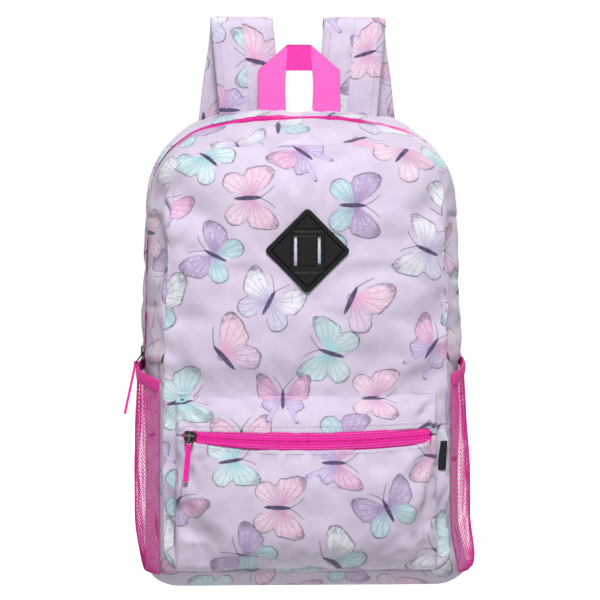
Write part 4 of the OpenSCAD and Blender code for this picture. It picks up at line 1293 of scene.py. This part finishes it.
def strap(side):
    path, width, run = strap_path(side)
    total = run[-1]
    fold_run = run[max(range(150), key=lambda k: path[k].z)]
    segs = 26
    top, bottom, uv = [], [], []
    for k, p in enumerate(path):
        nor = X.cross(tangent(path, k)).normalized()
        thin = clamp((run[k] - 8) / 40) if run[k] < total / 2 else clamp((total - run[k]) / 30)
        t = mix(2.2, pad_t, smooth(thin)) * (1 - 0.5 * math.exp(-((run[k] - fold_run) / 16) ** 2))
        ra, rb = [], []
        for j in range(segs + 1):
            e = 2 * j / segs - 1
            edge = (1 - abs(e)) * width[k]
            puff = smooth(edge / 6.5) ** 0.7
            line = 1 - 0.32 * math.exp(-(e * width[k] / 1.6) ** 2)
            hem = 1 - 0.5 * math.exp(-((edge - 3.2) / 1.0) ** 2)
            pucker = 1 + 0.16 * n3(run[k], e * 28, side * 40, 11, 2.5) + \
                0.10 * math.sin(run[k] / 2.1) * math.exp(-(e * width[k] / 4) ** 2)
            half = max(0.75, (0.9 + (t / 2 - 0.9) * puff) * line * hem * pucker)
            q = p + X * (e * width[k])
            ra.append(q + nor * half)
            rb.append(q - nor * half)
        top.append(ra)
        bottom.append(rb)
        uv.append([((2 * j / segs - 1) * width[k] * MM, run[k] * MM) for j in range(segs + 1)])
    ring = [a + b[::-1] for a, b in zip(top, bottom)]
    uvr = [[(u + 5.3 + side * 0.13, v + 0.02) for u, v in a] + [(u + 6.1, v) for u, v in a[::-1]] for a in uv]
    cols = len(ring[0])
    verts = [v for row in ring for v in row]
    faces = grid_faces(len(ring), cols, closed=True)
    faces += [tuple(reversed(range(cols))), tuple((len(ring) - 1) * cols + k for k in range(cols))]
    word = "left" if side < 0 else "right"
    o = make(f"shoulder_strap_{word}_pad", verts, faces, "print", [q for row in uvr for q in row])
    bm = bmesh.new()
    bm.from_mesh(o.data)
    bmesh.ops.recalc_face_normals(bm, faces=bm.faces)
    bm.to_mesh(o.data)
    bm.free()
    # The right half of the outside is cut from another place in the print
    layer = o.data.uv_layers["flat"]
    for face in o.data.polygons:
        us = [layer.data[k].uv.x - 5.3 - side * 0.13 for k in face.loop_indices]
        if min(us) > -1e-6 and max(us) < 0.05:
            for k in face.loop_indices:
                layer.data[k].uv += Vector((0.046, 0.033))
    rows = [mesh_line(o, [k * cols + c for k in range(4, len(ring) - 6)])
            for j in (segs // 2, 3, segs - 3) for c in (j, cols - 1 - j)]
    lines = [stitches(f"{o.name}_stitches_{i}", *r, length=3.0, gap=1.4) for i, r in enumerate(rows)]
    return o, lines


for side, word in ((-1, "left"), (1, "right")):
    pad, lines = strap(side)
    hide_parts(f"strap_base_{word}", f"shoulder_strap_{word}")
    for o in [pad, *lines]:
        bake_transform(o)
    lock = Vector((side * 91, 84, 196))
    # A short loop from the strap's end round the lock's top bar
    loop = [(2.9, 24), (2.9, 15), (2.7, 9.5), (1.6, 7.1), (0, 6.6), (-1.6, 7.1), (-2.7, 9.5), (-2.9, 15),
            (-2.9, 24)]
    # The tail hangs outside the lock, and its end is turned over and sewn
    tail = [(-3.2, 1.2), (-1.5, 0.2), (1.0, -0.2), (3.2, -1.5), (4.2, -8), (4.6, -25), (3.6, -50), (3.4, -66),
            (3.6, -71), (5.2, -71.5), (5.4, -66), (5.0, -56)]
    for kind, line, n in (("lock_loop", loop, 50), ("webbing_tail", tail, 80)):
        line = curve_path([lock + Vector((0, y, z)) for y, z in line], n)
        o = band(f"{kind}_{word}_webbing", line, 25.0, X, 1.4, "webbing")
        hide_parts(f"{kind}_{word}")
        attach(o, f"strap_{word}")
    # From the bag's lower corner up to the lock
    low = [(91, 80.6, 197), (91, 78.9, 190), (92, 78.4, 178), (98, 76.5, 142), (107, 70.5, 95),
           (114, 63.6, 62), (115, 62.2, 40)]
    low = [(side * x, y, z) for x, y, z in low]
    o = band(f"adjust_webbing_{word}_webbing", curve_path(low, 90), 25.0, X, 1.4, "webbing")
    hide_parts(f"adjust_webbing_{word}")
    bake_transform(o)

# Two stitch lines on each side of the pocket zip's teeth
half = math.asin(111 / arc_r)
for sign, word, parts in ((1, "upper", (("left", -half, 0.0), ("right", 0.0, half))),
                          (-1, "lower", (("all", -half, half),))):
    for k, w in enumerate((3.9, 6.0)):
        for part, a, b in parts:
            line = [mix(a, b, i / 90) for i in range(91)]
            w_at = lambda q: sign * min(w, tape_shown(arc_r * math.sin(q)) - 0.7)
            if k == 1:
                line = [q for q in line if tape_shown(arc_r * math.sin(q)) > 6.3]
            pts = [pocket_pt(q, w_at(q), 0.7) for q in line]
            nor = [pocket_pt(q, 0, 1) - pocket_pt(q, 0, 0) for q in line]
            o = stitches(f"pocket_zip_stitches_{word}_{k}_{part}", pts, nor, "pink_thread", 1.6, 0.7, 0.22)
            if part == "all":
                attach(o, "bag")
            else:
                s = -1 if part == "left" else 1
                s * 0.107
                s * 0.06
                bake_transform(o)

# The folded label in the pocket's side seam
tag = Vector((0.05, 0.0, 0.9987)).normalized()
folded = [(112.6, 1.3, 117.5), (118, 2.8, 117.5), (123.6, 3.4, 117.8), (124.4, 2.7, 117.9),
          (123.4, 2.2, 117.8), (117, 1.5, 117.5)]
folded = curve_path([(x, panel_y - out, z) for x, out, z in folded], 26)
label = band("folded_label", folded, 26.0, tag, 0.5, "label", segs=10)
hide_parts("side_label")
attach(label, "bag")

# ---------------------------------------------------------------- mesh side pockets

net_foot, net_front, net_back = 13.0, -40.0, 52.0


def net_top(side, y):
    front, rear = (174, 193) if side < 0 else (178, 201)
    return mix(front, rear, (y - net_front) / (net_back - net_front))


def net_point(side, y, v, out=0.0):
    """v: from 0 at the foot to 1 under the elastic, then 1 more for each millimetre of the elastic."""
    up = clamp(v)
    z = mix(net_foot, net_top(side, y), up) + max(0.0, v - 1)
    t = (y - net_front) / (net_back - net_front)
    band_off, sag, low = (5.2, 6.5, 0.7) if side < 0 else (3.0, 9.0, 0.5)
    free = math.sin(math.pi * t)
    swell = max(0.0, free) ** 0.8 * (band_off * up + sag * max(0.0, math.sin(math.pi * up ** low)))
    gather = free * (1.3 * math.sin(y / 1.9 + 2 * n3(y, 0, z, 40)) + 1.2 * n3(y, 0, 0, 7, 4.4)) * up ** 2
    ripple = free * 2.4 * n3(y * 1.6, 0, z * 0.5, 26, 2.0 + side) * \
        math.sin(math.pi * clamp(up, 0, .95) ** 0.8)
    w = side_x(y, z)
    return Vector((side * (w + 0.9 + swell + gather * 0.6 + ripple + out), y + 0.4 * gather, z))


def net(side, word):
    cols, rows = 24, 46
    verts, faces, index = [], [], {}

    def vert(i, j):
        if (i, j) not in index:
            index[i, j] = len(verts)
            verts.append(net_point(side, mix(net_front, net_back, i / (2 * cols)), j / (2 * rows)))
        return index[i, j]

    for j in range(2 * rows - 1):
        for i in range(j % 2, 2 * cols - 1, 2):
            faces.append((vert(i + 1, j), vert(i + 2, j + 1), vert(i + 1, j + 2), vert(i, j + 1)))
    o = make(f"side_net_{word}", verts, faces, "net")
    modifier(o, "WIREFRAME", thickness=0.6 * MM, use_even_offset=False, use_replace=True, use_boundary=True)
    bake(o)
    o.data.shade_smooth()
    return o


def elastic_band(side, word):
    ys = [mix(net_front, net_back, i / 70) for i in range(71)]
    tall = 11
    rows = [[net_point(side, y, 1 + h, 0.1 + 0.5 * math.sin(math.pi * h / tall)) for y in ys]
            for h in (0, 0.4, 2, 4, 6, 8, 10, tall)]
    if side < 0:
        rows = [r[::-1] for r in rows]
    run = lengths(rows[3])
    uvs = [[(d * MM, h * MM) for d in run] for h in (0, 2, 4, 6, 8, 10, 12, 13)]
    o = grid_piece(f"gathered_elastic_{word}", rows, "elastic", uvs)
    return thicken(o, 1.7, inner=False, out=0.0, subdiv=1)


def net_binding(side, word):
    """The folded tape that holds the net's front, foot and back edges."""
    pts = [net_point(side, net_front, v / 20) for v in range(20, -1, -1)]
    pts += [net_point(side, mix(net_front, net_back, i / 20), 0) for i in range(1, 20)]
    pts += [net_point(side, net_back, v / 20) for v in range(0, 21)]
    pts = [p - Vector((side * 0.4, 0, 0)) for p in pts]
    across = [tangent(pts, k).cross(Vector((side, 0, 0))).normalized() for k in range(len(pts))]
    return band(f"net_edge_{word}", pts, 2.4, across, 0.9, "net_edge", segs=4, subdiv=0)


for side, word in ((-1, "left"), (1, "right")):
    o, e, b = net(side, word), elastic_band(side, word), net_binding(side, word)
    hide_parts(f"mesh_pocket_{word}")
    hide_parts(f"elastic_{word}")
    for q in (o, e, b):
        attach(q, "bag")

# ---------------------------------------------------------------- back panel


def back_half(z, d=0.0):
    """Half the back's width at a height, d inside its edge."""
    w, p, low = half_w(y_back) - d, power(y_back), base_z(y_back) + d
    if z < low + corner_r:
        return w - corner_r + math.sqrt(max(0.0, corner_r ** 2 - (corner_r - (z - low)) ** 2))
    if z < shoulder_z:
        return w - taper * max(0.0, z - zip_end_z)
    h = clamp((z - shoulder_z) / (body_h - d - shoulder_z))
    return (w - taper * (shoulder_z - zip_end_z)) * (1 - h ** p) ** (1 / p)


channel_x, channel_zs = 47, (118, 214, 310)  # the back's sewn channels: two upright, three across


def back_sheet(name, y0, depth, mat, inset, face, n=100, m=150):
    """A quilted sheet in the back's outline, inset from its edge. face: 1 if it shows to the rear."""
    z0, z1 = base_z(y_back) + inset, body_h - inset
    zs = [mix(z0, z1, 0.5 - 0.5 * math.cos(math.pi * j / m)) for j in range(m + 1)]
    rows, uvs = [], []
    for z in zs:
        w = max(2.0, back_half(z, inset))
        xs = [w * math.sin(math.pi / 2 * (2 * i / n - 1)) for i in range(n + 1)]
        row = []
        for x in xs:
            edge = min(w - abs(x), z - z0, (z1 - z) * 1.2)
            lines = min(abs(abs(x) - channel_x), abs(edge - 13))
            if abs(x) <= channel_x:
                lines = min(lines, *(abs(z - at) for at in channel_zs))
            puff = depth * smooth(edge / 8) * (0.06 + 0.94 * smooth(lines / 8) ** 0.7)
            clear = smooth((400 - z) / 22) if face > 0 else 1.0
            wing = 1 - 0.8 * smooth((abs(x) - 92) / 12) * smooth((74 - z) / 14)
            uneven = 0.35 * n3(x, 0, z, 22, 9.1) * smooth(edge / 9)
            y = y0 + face * (puff * (0.25 + 0.75 * clear) * wing + uneven)
            row.append(Vector((x, y, z)))
        if face > 0:
            row.reverse()
        rows.append(row)
        uvs.append([(p.x * MM + 7.0, p.z * MM) for p in row])
    return grid_piece(name, rows, mat, uvs)


back = back_sheet("quilted_back", 59.6, 4.6, "back", 0.0, 1)
channels = [[(x, z) for z in range(20, 396, 3)] for x in (channel_x, -channel_x)]
channels += [[(x, z) for x in range(1 - channel_x, channel_x, 2)] for z in channel_zs]
back_stitches = [stitches(f"back_stitches_{k}", [Vector((x, 60.5, z)) for x, z in line],
                          [Vector((0, 1, 0))] * len(line), length=2.8, gap=1.2)
                 for k, line in enumerate(channels)]
thicken(back, 1.4, inner=False)
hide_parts("back_panel")
lining = back_sheet("back_lining_cloth", 51.5, 1.6, "print_in", 8.0, -1)
thicken(lining, 1.2, inner=False)
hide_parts("back_lining")
foam = back_sheet("back_foam_pad", 58.0, 0.6, "print_in", 9.0, 1, n=40, m=60)
thicken(foam, 5.6, inner=False)
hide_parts("back_foam")
for o in (back, lining, foam, *back_stitches):
    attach(o, "bag")


def piping(name, points, r, mat):
    """A bound edge: a soft tube of cloth round a closed line."""
    n, sides, verts, uvs = len(points), 10, [], []
    run = lengths(points)
    for k, p in enumerate(points):
        t = (points[(k + 1) % n] - points[k - 1]).normalized()
        a = t.cross(Vector((0, 1, 0))).normalized()
        b = t.cross(a).normalized()
        rr = r * (1 + 0.06 * n3(p.x, p.y, p.z, 9, 1.2))
        for j in range(sides):
            q = 2 * math.pi * j / sides
            verts.append(p + a * (rr * math.cos(q)) + b * (rr * math.sin(q)))
            uvs.append((j * r * 0.6 * MM, run[k] * MM))
    faces = []
    for k in range(n):
        for j in range(sides):
            c, d = k * sides + j, k * sides + (j + 1) % sides
            e, f = ((k + 1) % n) * sides + (j + 1) % sides, ((k + 1) % n) * sides + j
            faces.append((c, f, e, d))
    return make(name, verts, faces, mat, uvs)


zs = [mix(base_z(y_back), body_h, 0.5 - 0.5 * math.cos(math.pi * j / 110)) for j in range(111)]
edge_line = [Vector((max(1.0, back_half(z)) - 0.4, 59.0, z)) for z in zs]
edge_line = edge_line + [Vector((-p.x, p.y, p.z)) for p in reversed(edge_line)]
rim = piping("back_edge_binding", edge_line, 2.0, "binding")
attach(rim, "bag")

# ---------------------------------------------------------------- wings that hold the lower webbing

for side, word in ((-1, "left"), (1, "right")):
    outline = [(99, 60), (128, 60), (135, 44), (135, 30), (120, 22), (99, 42)]
    cx, cz = 118, 43
    rings = [1.0, 0.97, 0.8, 0.55, 0.25]
    verts, faces, edge = [], [], []
    for a, b in zip(outline, outline[1:] + outline[:1]):
        edge += [(mix(a[0], b[0], i / 6), mix(a[1], b[1], i / 6)) for i in range(6)]
    n = len(edge)
    for layer, y in ((1, 61.3), (-1, 60.1)):
        for r in rings:
            for x, z in edge:
                puff = 1.3 * (1 - r ** 3) if layer > 0 else 0.0
                hem = 0.5 if r == 1.0 and layer > 0 else 0
                verts.append((side * mix(cx, x, r), y + puff - hem, mix(cz, z, r)))
        verts.append((side * cx, y + (1.3 if layer > 0 else 0), cz))
    size = n * len(rings) + 1
    for base, flip in ((0, side > 0), (size, side < 0)):
        for r in range(len(rings) - 1):
            for i in range(n):
                a, b = base + r * n + i, base + r * n + (i + 1) % n
                f = (a, b, b + n, a + n)
                faces.append(tuple(reversed(f)) if flip else f)
        for i in range(n):
            f = (base + 4 * n + i, base + 4 * n + (i + 1) % n, base + size - 1)
            faces.append(tuple(reversed(f)) if flip else f)
    for i in range(n):
        f = (i, (i + 1) % n, size + (i + 1) % n, size + i)
        faces.append(f if side > 0 else tuple(reversed(f)))
    o = make(f"webbing_wing_{word}", verts, faces, "print")
    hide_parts(f"strap_wing_{word}")
    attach(o, "bag")
    line = [Vector((side * mix(cx, x, .86), 62.0, mix(cz, z, .86))) for x, z in edge]
    row = stitches(f"wing_stitches_{word}", line, [Vector((0, 1, 0))] * n)
    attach(row, "bag")

# ---------------------------------------------------------------- how the bag settles


def settle(o):
    """The top sags between its shoulders, most behind the zip, and the base spreads to the right."""
    for v in o.data.vertices:
        x, y, z = v.co / MM
        top = smooth((z - 372) / 40) * smooth((y + 40) / 28)
        if top > 0:
            behind = 6.5 * math.exp(-((x + 5) / 12) ** 2) + 2.8 * smooth((x + 5) / 12) * smooth((80 - x) / 30)
            v.co.z -= (3.1 * smooth((100 - abs(x)) / 35) + behind * smooth((y - 10) / 26)) * top * MM
        if z < 62 and x > 40:
            v.co.x += 9.5 * smooth((62 - z) / 58) * clamp((x - 40) / 100) ** 2 * MM


SETTLING = ("front_cloth", "rear_gusset_cloth", "side_and_base", "main_tape", "main_teeth", "quilted_back",
            "back_", "side_net", "net_edge", "gathered_elastic")
for o in bpy.data.objects:
    if o.type == "MESH" and o.name.startswith(SETTLING) and o.name not in frame["nodes"]:
        settle(o)

# ---------------------------------------------------------------- finish

reach = 60000
floor = make("floor", [(x * reach, y * reach, 0) for x, y in ((-1, -1), (1, -1), (1, 1), (-1, 1))],
             [(0, 1, 2, 3)], "print", smooth=False)
fm, _, fb = new_material("pale_floor")
fb.inputs["Base Color"].default_value = (0.45, 0.45, 0.455, 1)
fb.inputs["Roughness"].default_value = 0.9
fb.inputs["Emission Color"].default_value = (1, 1, 1, 1)
fb.inputs["Emission Strength"].default_value = 1.0
floor.visible_diffuse = floor.visible_glossy = False
floor.data.materials[0] = fm
# The CAD nodes that nothing replaces keep their shape and take the finish of their slot
SLOT_MATERIAL = {"print_cloth": "print", "back_cloth": "back", "lining": "print_in", "foam": "print_in",
                 "zip_pink": "tape", "webbing_pink": "webbing", "net_pink": "net", "elastic_pink": "elastic",
                 "ribbon_pink": "ribbon", "gunmetal": "metal", "moulded_black": "rubber",
                 "buckle_black": "plastic", "label_black": "label"}
for part in frame["record"]["subparts"]:
    o = frame["nodes"][part["node"]]
    o.data.materials.clear()
    o.data.materials.append(M[SLOT_MATERIAL[part["material_slot"]]])

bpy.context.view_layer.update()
